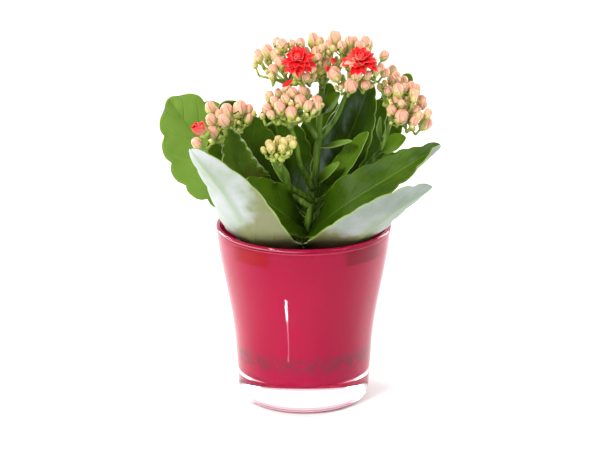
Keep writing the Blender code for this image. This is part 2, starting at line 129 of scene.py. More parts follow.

# %% [markdown]
# ## Helpers for pieces
#
# Nearly every piece goes the same way: a bmesh is shaped, written to a mesh, and given its
# materials; the solids it stands for are hidden, and it is attached to the body it rides on.
# The plant has no joints, so that body is always the root.

# %% From a bmesh to a piece
def finish_piece(name, bm, materials, stands_for=()):
    """Turns a bmesh into a smooth object at the origin, riding on the root body."""
    mesh = bpy.data.meshes.new(name)
    bm.to_mesh(mesh)
    bm.free()
    for material in materials:
        mesh.materials.append(material)
    mesh.shade_smooth()
    piece = bpy.data.objects.new(name, mesh)
    bpy.context.scene.collection.objects.link(piece)
    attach(piece, "root")
    if stands_for:
        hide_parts(*stands_for)
    return piece


def turn_to(direction):
    """The turn that points local Z along a direction."""
    return direction.to_track_quat("Z", "Y").to_matrix().to_4x4()


def place(x, y, z):
    """A point drawn in millimetres above the soil, carried to its place on the real plant."""
    mouth, lip = 47.0, SOIL_BELOW_LIP / MM
    inner = RIM_RADIUS - GLASS_WALL - FIT - LINING_WALL
    stretch = (PLANT_HEIGHT - SOIL_BELOW_LIP) / (PLANT_HEIGHT / MM - lip)
    height = z * MM if z <= lip else SOIL_BELOW_LIP + (z - lip) * stretch
    return Vector((x * inner / mouth, y * inner / mouth, SOIL_LEVEL + height))


print("highest bud near", [round(v, 4) for v in place(17, 4, 131)])

# %% [markdown]
# ## Helpers for materials
#
# Each finish is a Principled shader fed by a few procedural nodes. A node helper that links or
# sets its inputs in one call keeps the recipes short enough to read.

# %% Material helpers
def new_material(name, **settings):
    """A Principled material; a setting's underscores stand for the spaces in a socket's name."""
    material = bpy.data.materials.new(name)
    material.use_nodes = True
    shader = material.node_tree.nodes["Principled BSDF"]
    for socket, value in settings.items():
        shader.inputs[socket.replace("_", " ")].default_value = value
    return material


def node(material, kind, inputs, output=0, **settings):
    """Adds a node, fills its inputs from sockets or plain values, and returns one output."""
    tree = material.node_tree
    made = tree.nodes.new("ShaderNode" + kind)
    for name, value in settings.items():
        setattr(made, name, value)
    for socket, value in inputs.items():
        if isinstance(value, bpy.types.NodeSocket):
            tree.links.new(value, made.inputs[socket])
        else:
            made.inputs[socket].default_value = value
    return made.outputs[output]


def feed(material, socket, value):
    material.node_tree.links.new(value, material.node_tree.nodes["Principled BSDF"].inputs[socket])


def maths(material, operation, a, b=0.0, c=0.0):
    return node(material, "Math", {0: a, 1: b, 2: c}, operation=operation)


def times(material, a, b):
    return maths(material, "MULTIPLY", a, b)


def blend_colours(material, share, a, b, strength=1.0):
    """Colour a where the share is 0, and at most strength of colour b where it is 1."""
    if strength != 1.0:
        share = times(material, share, strength)
    return node(material, "Mix", {0: share, 6: a, 7: b}, output=2, data_type="RGBA")


def step_between(material, value, start, end):
    """0 below start and 1 above end, with a smooth rise between them."""
    return node(material, "MapRange", {"Value": value, "From Min": start, "From Max": end},
                interpolation_type="SMOOTHSTEP")


def cloud(material, scale, detail=3.0, stretch=(1, 1, 1)):
    """Soft noise on the object's own coordinates, in metres."""
    place_in = node(material, "TexCoord", {}, output=3)
    squeezed = node(material, "Mapping", {"Vector": place_in, "Scale": stretch})
    return node(material, "TexNoise", {"Vector": squeezed, "Scale": scale, "Detail": detail})


def bump(material, height, distance, strength=1.0):
    feed(material, "Normal", node(material, "Bump", {"Height": height, "Distance": distance,
                                                     "Strength": strength}))


def attribute(material, name):
    """A number stored on each point of the mesh."""
    return node(material, "Attribute", {}, output=2, attribute_name=name)


def position(material, axis):
    """A point's own X, Y or Z, for axis 0, 1 or 2, in metres."""
    return node(material, "SeparateXYZ", {0: node(material, "TexCoord", {}, output=3)}, output=axis)


def own_map(material):
    """The two coordinates of the piece's own map."""
    first = node(material, "SeparateXYZ", {0: node(material, "UVMap", {}, uv_map="UVMap")})
    return first, first.node.outputs[1]


def rgb(*levels):
    return (*levels, 1.0)


# %% [markdown]
# ## The glass pot
#
# The pot is one piece of thick pressed glass: a heavy clear foot, a thin wall, and a side that
# runs nearly straight from the foot and then flares to the rim. A lathe shape like this is best
# drawn as half a section and spun about the axis. A spin leaves twin points at its poles, so
# they are merged before the faces are turned outwards.

# %% The section of a cup
def arc(centre_radius, centre_height, radius, start, end, steps=8):
    """Points of a rounding in the section; 0 degrees points outwards and 90 upwards."""
    turns = [math.radians(start + (end - start) * i / steps) for i in range(steps + 1)]
    return [(centre_radius + radius * math.cos(a), centre_height + radius * math.sin(a))
            for a in turns]


def glass_radius(height):
    """The outer radius: nearly straight low down, then flaring to the rim."""
    share = min(max(height / POT_HEIGHT, 0.0), 1.0)
    flare = min(max((share - 0.3) / 0.7, 0.0), 1.0)
    smooth = flare * flare * (3.0 - 2.0 * flare)
    return FOOT_RADIUS + (RIM_RADIUS - FOOT_RADIUS) * (0.5 * share + 0.5 * smooth)


def wall(inset, start, end, steps=28):
    heights = [start + (end - start) * i / steps for i in range(steps + 1)]
    return [(glass_radius(z) - inset, z) for z in heights]


def cup_section(floor_low, floor_high, top, inset, thick, corner_low, corner_high):
    """A cup that follows the glass pot's side, from the axis inside round to the axis below."""
    half = thick / 2.0
    crest = top - half
    inner = inset + thick
    foot = glass_radius(floor_high + corner_high) - inner
    section = [(0.0, floor_high)]
    section += arc(foot - corner_high, floor_high + corner_high, corner_high, -90, 0)
    section += wall(inner, floor_high + corner_high, crest)[1:]
    section += arc(glass_radius(crest) - inner + half, crest, half, 180, 0)[1:]
    section += wall(inset, crest, floor_low + corner_low)[1:]
    outer = glass_radius(floor_low + corner_low) - inset
    section += arc(outer - corner_low, floor_low + corner_low, corner_low, 0, -90)[1:]
    return section + [(0.0, floor_low)]


def spin_section(section, steps=160):
    """A closed section turned once round Z."""
    bm = bmesh.new()
    verts = [bm.verts.new((radius, 0.0, height)) for radius, height in section]
    edges = [bm.edges.new(pair) for pair in zip(verts, verts[1:])]
    bmesh.ops.spin(bm, geom=verts + edges, cent=(0, 0, 0), axis=(0, 0, 1), dvec=(0, 0, 0),
                   angle=math.tau, steps=steps, use_merge=True, use_duplicate=False)
    bmesh.ops.remove_doubles(bm, verts=bm.verts, dist=1e-6)
    bmesh.ops.recalc_face_normals(bm, faces=bm.faces)
    return bm


# %% [markdown]
# ### Clear glass
#
# Pressed glass is clear, a little cool, and never quite even. A transmitting shader with the
# index of refraction of soda glass bends what lies behind it, and a very shallow, slow bump
# gives the waviness that breaks up its highlights. Right at the foot, the rounding mirrors the
# red of the coat above as a thin pink ring; that reflection is painted, by tinting a few rings
# of faces there pink.

# %% Glass pot
CLEAR = dict(IOR=1.50, Transmission_Weight=1.0, Specular_Tint=rgb(0.30, 0.31, 0.38))
PINK_RING = (0.00005, 0.0042)         # the heights between which the foot is tinted
glass = new_material("clear_glass", Base_Color=rgb(0.97, 0.98, 0.985), Roughness=0.0, **CLEAR)
bump(glass, cloud(glass, 45.0, 1.0, (1, 1, 0.35)), 0.0004, 0.35)

section = cup_section(0.0, GLASS_BASE, POT_HEIGHT, 0.0, GLASS_WALL, FOOT_ROUNDING, INNER_CORNER)
# Painted reflection: the foot's rounding is tinted pink for the red of the coat mirrored there.
painted_reflection_glass = new_material("painted_reflection_glass", Base_Color=rgb(0.72, 0.40, 0.49), Roughness=0.05, **CLEAR)
pot_glass = finish_piece("pot_clear_glass", spin_section(section), [glass, painted_reflection_glass],
                         ["glass_pot"])
for face in pot_glass.data.polygons:
    face.material_index = int(PINK_RING[0] < face.center.z < PINK_RING[1])
print("glass pot:", len(section), "points in its section,", len(pot_glass.data.polygons), "faces")

# %% [markdown]
# ### Red lacquer
#
# The colour is a coat of lacquer on the inside of the glass, not a separate cup, so there is no
# air between the two. The coat is pressed a twentieth of a millimetre into the wall: light that
# travels in the glass then meets the paint directly, as it does in the real pot. At the lip the
# coat turns over the edge and fills the rounded glass, so the lip looks solid red under a clear
# skin. The rounding bends the light into thin lines there, one dark and two pale, and those are
# drawn in the coat by height. Two darker patches under the lip stand for reflections in the glass.
# They are painted too, so they stay put when the view moves. Low down, a band of the coat is
# mottled a darker, browner red.

# %% Lacquer
PRESS = 0.00005
lacquer = new_material("red_lacquer", Roughness=0.5, Specular_IOR_Level=0.0)
across, height = position(lacquer, 0), position(lacquer, 2)
tone = blend_colours(lacquer, cloud(lacquer, 30.0), rgb(0.53, 0.0030, 0.052),
                     rgb(0.60, 0.0050, 0.070))
near_foot = times(lacquer, step_between(lacquer, height, 0.036, 0.031),
                  step_between(lacquer, height, 0.0225, 0.0265))
near_foot = times(lacquer, near_foot,
                  step_between(lacquer, cloud(lacquer, 260.0, 6.0, (1, 1, 1.6)), 0.36, 0.60))
tone = blend_colours(lacquer, near_foot, tone, rgb(0.20, 0.035, 0.06), 0.65)


def lip_band(deep, shallow, blur=0.0002):
    """1 between two depths below the lip, in metres."""
    below = maths(lacquer, "SUBTRACT", POT_HEIGHT, height)
    return times(lacquer, step_between(lacquer, below, shallow - blur, shallow + blur),
                 step_between(lacquer, below, deep + blur, deep - blur))


def lip_patch(blur, left, right):
    """1 on a patch under the lip; left and right say between which X its two sides fade in."""
    return times(lacquer, lip_band(0.0125, 0.0032, blur),
                 times(lacquer, step_between(lacquer, across, *left),
                       step_between(lacquer, across, *right)))


# Painted reflections: a darker patch under the lip on each side of the pot.
painted_reflection_right = lip_patch(0.0007, (0.021, 0.025), (0.043, 0.039))
tone = blend_colours(lacquer, painted_reflection_right, tone, rgb(0.28, 0.0, 0.008), 0.70)
painted_reflection_left = lip_patch(0.0010, (-0.017, -0.021), (-0.040, -0.034))
tone = blend_colours(lacquer, painted_reflection_left, tone, rgb(0.50, 0.0, 0.006), 0.85)
tone = blend_colours(lacquer, lip_band(0.0026, 0.0014), tone, rgb(0.30, 0.003, 0.024), 0.70)
tone = blend_colours(lacquer, lip_band(0.0032, 0.0027), tone, rgb(0.90, 0.075, 0.19))
left_front = times(lacquer, step_between(lacquer, across, 0.004, -0.012), 0.85)
tone = blend_colours(lacquer, times(lacquer, lip_band(0.0015, 0.0012), left_front), tone,
                     rgb(0.90, 0.62, 0.66))
feed(lacquer, "Base Color", tone)

coat_top = POT_HEIGHT - LINING_BELOW_LIP
section = cup_section(GLASS_BASE - PRESS, GLASS_BASE + LINING_WALL, coat_top,
                      GLASS_WALL - PRESS, LINING_WALL, INNER_CORNER, INNER_CORNER - LINING_WALL)
crest = max(range(len(section)), key=lambda i: section[i][1])
outside = [(r, z) for r, z in section[crest + 1:] if z < POT_HEIGHT - 0.0040]
rolled = [(glass_radius(POT_HEIGHT - d) - GLASS_WALL + PRESS + reach, POT_HEIGHT - d)
          for d, reach in ((0.0003, 0.0008), (0.0003, 0.0014), (0.0007, 0.0019), (0.0013, 0.0020),
                           (0.0020, 0.0020), (0.0029, 0.0020), (0.0033, 0.0017), (0.0037, 0.0006))]
inside = [(r, z) for r, z in section[:crest] if z < POT_HEIGHT - 0.0012]
section = inside + [(glass_radius(POT_HEIGHT) - GLASS_WALL - LINING_WALL, POT_HEIGHT - 0.0009)]
section += rolled + outside
finish_piece("pot_red_lacquer", spin_section(section), [lacquer], ["red_lining"])
print("lacquer coat:", LINING_WALL / MM, "mm thick, pressed in by", PRESS / MM, "mm")

# %% [markdown]
# ## The nursery pot and its soil
#
# The plant is sold in a thin plastic pot with a rolled rim and a drain hole, which is simply
# dropped into the glass one. Only its rim and the dark peat show, and only from above, but they
# are what makes the plant look planted. The pot is another spun section. The soil starts as a
# cone, its top is inset again and again into rings, and noise lifts the rings into crumbs.

# %% Nursery pot
GROW_POT_TOP = SOIL_LEVEL + 0.0040
GROW_POT_FOOT = GLASS_BASE + FIT + LINING_WALL + FIT
GROW_POT_WALL = 0.0008
GROW_POT_RIM = 0.0020
GROW_POT_CLEARANCE = 0.0030
GROW_POT_TAPER = 0.0100
DRAIN_RADIUS = 0.0040


def grow_pot_radius(height):
    """The nursery pot's outer wall, a plain cone below its rim."""
    rim = glass_radius(GROW_POT_TOP) - GLASS_WALL - FIT - LINING_WALL - GROW_POT_CLEARANCE
    share = (GROW_POT_TOP - height) / (GROW_POT_TOP - GROW_POT_FOOT)
    return rim - GROW_POT_RIM - GROW_POT_TAPER * share


rim_out = grow_pot_radius(GROW_POT_TOP) + GROW_POT_RIM
rim_low = GROW_POT_TOP - 2.0 * GROW_POT_RIM
floor = GROW_POT_FOOT + GROW_POT_WALL
section = [(DRAIN_RADIUS, floor), (grow_pot_radius(floor) - GROW_POT_WALL - 0.001, floor),
           (grow_pot_radius(floor) - GROW_POT_WALL, floor + 0.001)]
section += [(grow_pot_radius(rim_low) - GROW_POT_WALL, rim_low)]
section += arc(grow_pot_radius(GROW_POT_TOP) - GROW_POT_WALL + 0.0005, GROW_POT_TOP - 0.0005,
               0.0005, 180, 90, 4)
section += arc(rim_out - 0.0006, GROW_POT_TOP - 0.0006, 0.0006, 90, 0, 4)
section += [(rim_out, rim_low + 0.0002), (rim_out - 0.0003, rim_low),
            (grow_pot_radius(rim_low), rim_low), (grow_pot_radius(GROW_POT_FOOT), GROW_POT_FOOT),
            (DRAIN_RADIUS, GROW_POT_FOOT), (DRAIN_RADIUS, floor)]
plastic = new_material("nursery_pot_plastic", Roughness=0.48)
feed(plastic, "Base Color", blend_colours(plastic, cloud(plastic, 120.0), rgb(0.035, 0.030, 0.028),
                                          rgb(0.060, 0.050, 0.045)))
bump(plastic, cloud(plastic, 2500.0, 2.0), 0.00006, 0.5)
finish_piece("nursery_pot", spin_section(section, 96), [plastic], ["grow_pot"])
print("nursery pot:", round(rim_out / MM, 1), "mm at its rim")

# %% Soil
SOIL_RINGS = 16
soil = new_material("peat_soil", Roughness=0.95, Specular_IOR_Level=0.25)
peat = blend_colours(soil, step_between(soil, cloud(soil, 900.0, 6.0), 0.35, 0.70),
                     rgb(0.010, 0.006, 0.004), rgb(0.075, 0.042, 0.024))
feed(soil, "Base Color", peat)
bump(soil, cloud(soil, 1400.0, 8.0), 0.0006)

soil_low = GROW_POT_FOOT + GROW_POT_WALL + FIT
inset = GROW_POT_WALL + 0.0001
bm = bmesh.new()
bmesh.ops.create_cone(bm, cap_ends=True, segments=96, radius1=grow_pot_radius(soil_low) - inset,
                      radius2=grow_pot_radius(SOIL_LEVEL) - inset, depth=SOIL_LEVEL - soil_low,
                      matrix=Matrix.Translation((0, 0, (SOIL_LEVEL + soil_low) / 2)))
top = max(bm.faces, key=lambda face: face.calc_center_median().z)
for ring in range(SOIL_RINGS):
    bmesh.ops.inset_region(bm, faces=[top], thickness=0.038 / SOIL_RINGS)
bmesh.ops.poke(bm, faces=[top])
for vert in bm.verts:
    out = math.hypot(vert.co.x, vert.co.y) / 0.040
    if vert.co.z > SOIL_LEVEL - 0.0001 and out < 0.96:
        lump = noise.noise(vert.co * 160.0) + 0.5 * noise.noise(vert.co * 420.0)
        vert.co.z += 0.0011 * lump * (1.0 - out ** 6) + 0.0006 * (1.0 - out)
bmesh.ops.recalc_face_normals(bm, faces=bm.faces)
soil_ball = finish_piece("soil_ball", bm, [soil], ["potting_soil"])
print("soil:", len(soil_ball.data.polygons), "faces, level at", SOIL_LEVEL)

# %% [markdown]
# Crumbs of peat and a few white grains lie loose on top. They are small balls of twenty faces,
# squashed and strewn at random, and one number on each tells the shader how light it is.

# %% Crumbs
CRUMB_COUNT = 420
crumb = new_material("peat_crumbs", Roughness=0.95, Specular_IOR_Level=0.2)
feed(crumb, "Base Color", blend_colours(crumb, attribute(crumb, "light"),
                                        rgb(0.016, 0.009, 0.005), rgb(0.62, 0.58, 0.50)))
bump(crumb, cloud(crumb, 2600.0, 4.0), 0.0003)
random.seed(11)
bm = bmesh.new()
light = bm.verts.layers.float.new("light")
for _ in range(CRUMB_COUNT):
    reach, turn = 0.0385 * math.sqrt(random.random()), random.uniform(0.0, math.tau)
    size = random.uniform(0.0004, 0.0012)
    spot = Vector((reach * math.cos(turn), reach * math.sin(turn), SOIL_LEVEL + 0.0006))
    squash = Matrix.Diagonal((random.uniform(0.8, 1.6), random.uniform(0.7, 1.2), 0.7, 1.0))
    ball = bmesh.ops.create_icosphere(
        bm, subdivisions=1, radius=size,
        matrix=Matrix.Translation(spot) @ Matrix.Rotation(turn * 3.0, 4, "Z") @ squash)
    tone = random.choice([0.0, 0.02, 0.05, 0.1, 0.02, 0.06, 0.03, 0.12, 0.01, 0.8])
    for vert in ball["verts"]:
        vert[light] = tone
crumbs = finish_piece("soil_crumbs", bm, [crumb], [])
print("crumbs:", len(crumbs.data.polygons), "faces")

# %% [markdown]
# ## Stems and flower stalks
#
# The main stem rises from the soil and a stalk leaves it under each flower head. They are soft
# and round, thicker at each node where leaves spring, and a little lighter along their length.
# A curve with a bevel would do, but extruding one ring of edges from point to point lets the
# radius swell at the nodes and keeps the surface one clean skin.

# %% Paths
Stem = namedtuple("Stem", "name parent points")
STEMS = [
    Stem("main_stem", None,
         [(0, 0, -11), (0, 0, 3), (3, -2, 21), (6, -3, 41), (8, -3, 64), (9, -2, 82),
          (10, -1, 97)]),
    Stem("stalk_top_left", "main_stem", [(3, -5, 70), (0, -6, 82), (-5, -6, 92), (-8, -5, 99)]),
    Stem("stalk_top_right", "main_stem", [(14, -1, 69), (18, 0, 80), (22, 1, 89), (25, 2, 96)]),
    Stem("stalk_centre", "main_stem", [(0, -8, 40), (-2, -13, 57), (-4, -17, 69), (-7, -19, 79)]),
    Stem("stalk_left", "main_stem", [(-5, 1, 29), (-17, 4, 40), (-33, 3, 54), (-44, -8, 67)]),
    Stem("stalk_low", "main_stem", [(-4, -11, 33), (-8, -19, 46), (-11, -24, 53), (-13, -27, 60)]),
    Stem("stalk_right", "main_stem", [(13, -1, 32), (28, -1, 46), (42, -1, 60), (49, -1, 78)]),
]


def smooth_path(points, steps):
    """A curve through the points, with steps segments between each two of them."""
    ends = [2.0 * points[0] - points[1]] + list(points) + [2.0 * points[-1] - points[-2]]
    path = []
    for p0, p1, p2, p3 in zip(ends, ends[1:], ends[2:], ends[3:]):
        for i in range(steps):
            t = i / steps
            path.append(0.5 * (2.0 * p1 + (p2 - p0) * t
                               + (2.0 * p0 - 5.0 * p1 + 4.0 * p2 - p3) * t * t
                               + (3.0 * p1 - p0 - 3.0 * p2 + p3) * t ** 3))
    return path + [points[-1].copy()]


def at_height(path, height):
    """The point of a rising path at a height."""
    for a, b in zip(path, path[1:]):
        if a.z <= height <= b.z:
            return a.lerp(b, (height - a.z) / (b.z - a.z))
    return path[-1].copy()


def beside(path, height, toward, distance):
    """A point level with the path's axis at a height, a distance from it toward another."""
    centre = at_height(path, height)
    return centre + Vector((toward.x - centre.x, toward.y - centre.y, 0)).normalized() * distance


PATHS = {}
for stem in STEMS:
    points = [place(*point) for point in stem.points]
    if stem.parent:
        points[0] = beside(PATHS[stem.parent], points[0].z, points[1], STEM_RADIUS * 0.5)
    PATHS[stem.name] = smooth_path(points, 9)
print("paths:", {name: len(path) for name, path in PATHS.items()})


# %% Tubes
def tube(bm, path, radii, segments=14):
    """A ring of edges, extruded from point to point, with both ends closed."""
    heading = (path[1] - path[0]).normalized()
    ring = bmesh.ops.create_circle(bm, segments=segments, radius=radii[0],
                                   matrix=Matrix.Translation(path[0]) @ turn_to(heading))
    edges = list({edge for vert in ring["verts"] for edge in vert.link_edges})
    ends = [edges]
    for i in range(1, len(path)):
        onward = (path[min(i + 1, len(path) - 1)] - path[i - 1]).normalized()
        made = bmesh.ops.extrude_edge_only(bm, edges=edges)["geom"]
        step = (Matrix.Translation(path[i])
                @ heading.rotation_difference(onward).to_matrix().to_4x4()
                @ Matrix.Scale(radii[i] / radii[i - 1], 4) @ Matrix.Translation(-path[i - 1]))
        bmesh.ops.transform(bm, matrix=step,
                            verts=[part for part in made if isinstance(part, bmesh.types.BMVert)])
        edges = [part for part in made if isinstance(part, bmesh.types.BMEdge)]
        heading = onward
    for edges in ends + [edges]:
        bmesh.ops.contextual_create(bm, geom=edges)


stem_green = new_material("green_stem", Roughness=0.42, Specular_IOR_Level=0.20)
streaks = cloud(stem_green, 380.0, 3.0, (1, 1, 0.12))
feed(stem_green, "Base Color",
     blend_colours(stem_green, step_between(stem_green, streaks, 0.30, 0.75),
                   rgb(0.045, 0.105, 0.006), rgb(0.16, 0.28, 0.030)))
bump(stem_green, streaks, 0.0002, 0.6)

# %% Stems
NODES = [13, 20, 30, 43, 64, 70, 83]
for stem in STEMS:
    path = PATHS[stem.name]
    size = STALK_RADIUS if stem.parent else STEM_RADIUS
    radii = []
    for i, point in enumerate(path):
        swell = 0.0
        if not stem.parent:
            swell = max(math.exp(-((point.z - place(0, 0, n).z) / 0.0022) ** 2) for n in NODES)
        foot = math.exp(-i / 2.0) if stem.parent else 0.0
        taper = (1 - TIP_SHARE) * i / (len(path) - 1)
        radii.append(size * (1 - taper + 0.22 * swell + 0.45 * foot))
    bm = bmesh.new()
    tube(bm, path, radii)
    bmesh.ops.recalc_face_normals(bm, faces=bm.faces)
    finish_piece(stem.name + "_skin", bm, [stem_green], [stem.name])
print("stems:", len(STEMS))

# %% [markdown]
# ## Leaves
#
# A kalanchoe's leaf is thick and waxy. Its upper side is green and glossy, its underside pale
# with a white bloom, and its margin is cut into round shallow lobes with a thin yellow-green
# rim. Leaves differ in outline, so each row of the table gives one leaf: the points its midrib
# runs through, where its upper side faces, how wide and how cupped it is, where it is widest,
# how light its green is, and the length and depth of its lobes in millimetres.
#
# A leaf starts as a flat grid. The grid is bent along the midrib, cupped across it, and its
# margin is pressed in where two lobes meet. Solidify then gives the leaf its flesh, thinner
# toward the margin, and hands the underside and the rim to finishes of their own.

# %% Leaf table
Leaf = namedtuple("Leaf", "name stem node points face width cup fullest tone lobe cut")
MAIN, LOW, RIGHT = "main_stem", "stalk_low", "stalk_right"
LEAVES = [
    Leaf("leaf_front_left", MAIN, 3,
         [(-16, -18, 8), (-28, -33, 19), (-42, -43, 48), (-61, -50, 76)],
         (0.45, 0.70, 0.50), 45, 0.25, 0.8, 0.60, 15, 1.0),
    Leaf("leaf_front_right", MAIN, 4, [(15, -18, 8), (27, -33, 18), (47, -42, 37), (70, -43, 53)],
         (-0.36, 0.65, 0.62), 44, 0.25, 0.8, 0.30, 13, 1.9),
    Leaf("leaf_right_long", MAIN, 11, [(12, -20, 26), (24, -27, 38), (45, -25, 51), (76, -21, 70)],
         (-0.24, -0.50, 0.80), 31, 0.25, 0.75, 0.30, 14, 1.7),
    Leaf("leaf_right_inner", MAIN, 32, [(15, -7, 43), (26, -8, 58), (36, -8, 74)],
         (-0.50, -0.60, 0.50), 14, 0.45, 1.15, 0.55, 9, 0.7),
    Leaf("leaf_left_inner", MAIN, 15, [(-8, -16, 26), (-20, -22, 37), (-33, -23, 50)],
         (0.50, -0.45, 0.70), 34, 0.25, 1.0, 0.40, 11, 1.5),
    Leaf("leaf_left_cupped", MAIN, 20, [(-19, -3, 35), (-35, -10, 53), (-42, -15, 78)],
         (0.25, -0.90, 0.30), 21, 0.40, 1.6, 0.70, 6, 1.9),
    Leaf("leaf_far_left", MAIN, 8,
         [(-14, 7, 19), (-34, 17, 34), (-57, 24, 57), (-77, 20, 86)],
         (0.25, -0.90, 0.30), 53, 0.10, 1.5, 0.95, 16, 3.0),
    Leaf("leaf_left_back", MAIN, 25, [(-18, 9, 38), (-36, 11, 60), (-45, 10, 87)],
         (0.20, -0.85, 0.30), 40, 0.15, 1.6, 0.30, 10, 1.8),
    Leaf("leaf_back_inner", MAIN, 20, [(-8, 18, 38), (-14, 24, 58), (-18, 24, 84)],
         (0.10, -0.90, 0.30), 34, 0.20, 1.2, 0.25, 9, 1.5),
    Leaf("leaf_back_tall", MAIN, 30, [(13, 10, 42), (25, 14, 63), (38, 13, 98)],
         (-0.30, -0.90, 0.20), 30, 0.35, 1.0, 0.25, 10, 0.9),
    Leaf("leaf_back_right", MAIN, 19, [(9, 12, 30), (22, 22, 46), (36, 26, 64), (45, 25, 84)],
         (-0.20, -0.80, 0.40), 28, 0.25, 1.2, 0.60, 10, 1.5),
    Leaf("leaf_right_low", MAIN, 16, [(20, 2, 25), (40, 3, 40), (62, 2, 60)],
         (-0.30, -0.55, 0.75), 24, 0.30, 1.2, 0.66, 10, 1.5),
    Leaf("leaf_back_top_right", MAIN, 12, [(14, 18, 22), (30, 31, 42), (48, 35, 68), (61, 30, 98)],
         (-0.30, -0.80, 0.30), 26, 0.25, 1.4, 0.60, 9, 1.2),
    Leaf("leaf_back_middle", MAIN, 15, [(3, 22, 30), (8, 34, 56), (15, 37, 91)],
         (0.0, -0.90, 0.25), 24, 0.20, 1.3, 0.40, 9, 1.3),
    Leaf("leaf_back_left_low", MAIN, 6, [(-9, 25, 20), (-20, 44, 36), (-30, 58, 50)],
         (0.20, -0.40, 0.85), 34, 0.20, 1.2, 0.50, 10, 1.2),
    Leaf("leaf_back_low", MAIN, 4, [(9, 27, 14), (15, 47, 26), (19, 62, 38)],
         (0.0, -0.30, 0.95), 34, 0.15, 1.2, 0.45, 10, 1.2),
    Leaf("leaf_back_right_low", MAIN, 6, [(24, 16, 20), (46, 28, 34), (63, 38, 48)],
         (-0.30, -0.30, 0.85), 32, 0.20, 1.2, 0.50, 10, 1.2),
    Leaf("leaf_right_spoon", RIGHT, 60, [(48, -8, 65), (57, -12, 72)],
         (-0.30, -0.60, 0.60), 11, 0.40, 1.6, 0.55, 20, 0.0),
    Leaf("bract_top", MAIN, 83, [(14, -7, 89), (20, -9, 97)],
         (-0.50, -0.60, 0.40), 9, 0.30, 1.2, 0.50, 20, 0.0),
    Leaf("bract_middle", MAIN, 64, [(17, -8, 66), (27, -12, 70)],
         (-0.20, -0.30, 0.90), 6, 0.40, 1.0, 0.85, 20, 0.0),
    Leaf("bract_low_right", MAIN, 43, [(13, -10, 50), (20, -14, 58)],
         (-0.50, -0.50, 0.50), 7, 0.40, 1.0, 0.70, 20, 0.0),
    Leaf("bract_low_left", LOW, 44, [(-13, -17, 53), (-18, -17, 60)],
         (0.50, -0.60, 0.50), 8, 0.40, 1.0, 0.75, 20, 0.0),
    Leaf("bract_thin", RIGHT, 66, [(42, -4, 74), (43, -5, 82)],
         (0.50, -0.60, 0.20), 4, 0.30, 1.0, 0.80, 20, 0.0),
]
# Brown blotches: how far up the leaf they reach, and how much further on its right-hand side.
# The share of its length from which a leaf's margin folds up, and how far, in degrees.
FOLDS = {"leaf_right_long": (0.80, 60.0), "leaf_left_cupped": (0.35, 40.0)}
# Where a painted bluish shine runs up a leaf: how far across, and how wide, as shares.
SHINES = {"leaf_back_tall": (-0.30, 0.42)}
STAINS = {"leaf_front_left": (0.62, -0.20), "leaf_front_right": (0.62, -0.05),
          "leaf_left_cupped": (0.80, 0.0)}
print("leaves:", len(LEAVES))


# %% Leaf shape
def along(path, share):
    """The point a share of the way along a path, by length."""
    lengths = [0.0]
    for a, b in zip(path, path[1:]):
        lengths.append(lengths[-1] + (b - a).length)
    wanted = share * lengths[-1]
    for i in range(len(path) - 1):
        if lengths[i + 1] >= wanted:
            part = (wanted - lengths[i]) / (lengths[i + 1] - lengths[i])
            return path[i].lerp(path[i + 1], part)
    return path[-1].copy()


def blade_share(t, fullest):
    """Half the blade's width over its widest: a narrow wedge at its foot, blunt at its tip."""
    if not 0.0 < t < 1.0:
        return 0.0
    along_blade = t ** fullest
    return math.sin(math.pi * along_blade) ** (1.1 - 0.6 * along_blade)


def leaf_frames(leaf, rows, small):
    """For each row of the grid: its place on the midrib, its directions and its half width."""
    thick, petiole = (BRACT_THICKNESS, 0.0008) if small else (LEAF_THICKNESS, 0.0018)
    points = [place(*point) for point in leaf.points]
    stem_size = STEM_RADIUS if leaf.stem == MAIN else STALK_RADIUS
    foot = beside(PATHS[leaf.stem], place(0, 0, leaf.node).z, points[0], stem_size * 0.6)
    midrib = smooth_path([foot] + points, 12)
    face = Vector(leaf.face)
    frames = []
    for row in range(rows + 1):
        t = 0.5 - 0.5 * math.cos(math.pi * row / rows)
        onward = along(midrib, min(t + 0.02, 1.0)) - along(midrib, max(t - 0.02, 0.0))
        heading = onward.normalized()
        normal = (face - heading * face.dot(heading)).normalized()
        width = max(leaf.width * MM / 2.0 * blade_share(t, leaf.fullest),
                    petiole if t < 0.5 else thick * 0.5)
        frames.append((t, along(midrib, t), normal, heading.cross(normal), width))
    return frames


def blade_point(leaf, frame_row, u):
    """A point of the blade, u of its half width to one side of the midrib."""
    t, centre, normal, side, width = frame_row
    crease = 0.0007 * math.exp(-(u * width / 0.0018) ** 2) * min(1.0, width / 0.008)
    lift = leaf.cup * width * abs(u) ** 1.7 - crease
    start, most = FOLDS.get(leaf.name, (1.0, 0.0))
    late = min(max((t - start) / 0.25, 0.0), 1.0)
    bend = math.radians(most) * late * late * (3 - 2 * late) * max(u, 0.0) ** 4
    out = width * u
    return centre + side * (out * math.cos(bend)) + normal * (lift + out * math.sin(bend))


def lobe_cuts(leaf, frames):
    """How each row's two margin points are pressed in, so that round lobes meet in a notch."""
    cuts = {}
    for u in (-1, 1):
        edge = [blade_point(leaf, row, u) for row in frames]
        run = 0.35 * leaf.lobe * MM * (1 + u * 0.3)
        for i, point in enumerate(edge):
            if i:
                run += (point - edge[i - 1]).length
            onward = edge[min(i + 1, len(edge) - 1)] - edge[max(i - 1, 0)]
            inward = frames[i][2].cross(onward).normalized() * u
            notch = (1.0 - abs(math.sin(math.pi * run / (leaf.lobe * MM)))) ** 1.6
            depth = leaf.cut * MM * min(1.0, frames[i][4] / 0.006)
            cuts[u, i] = inward * (depth * notch)
    return cuts


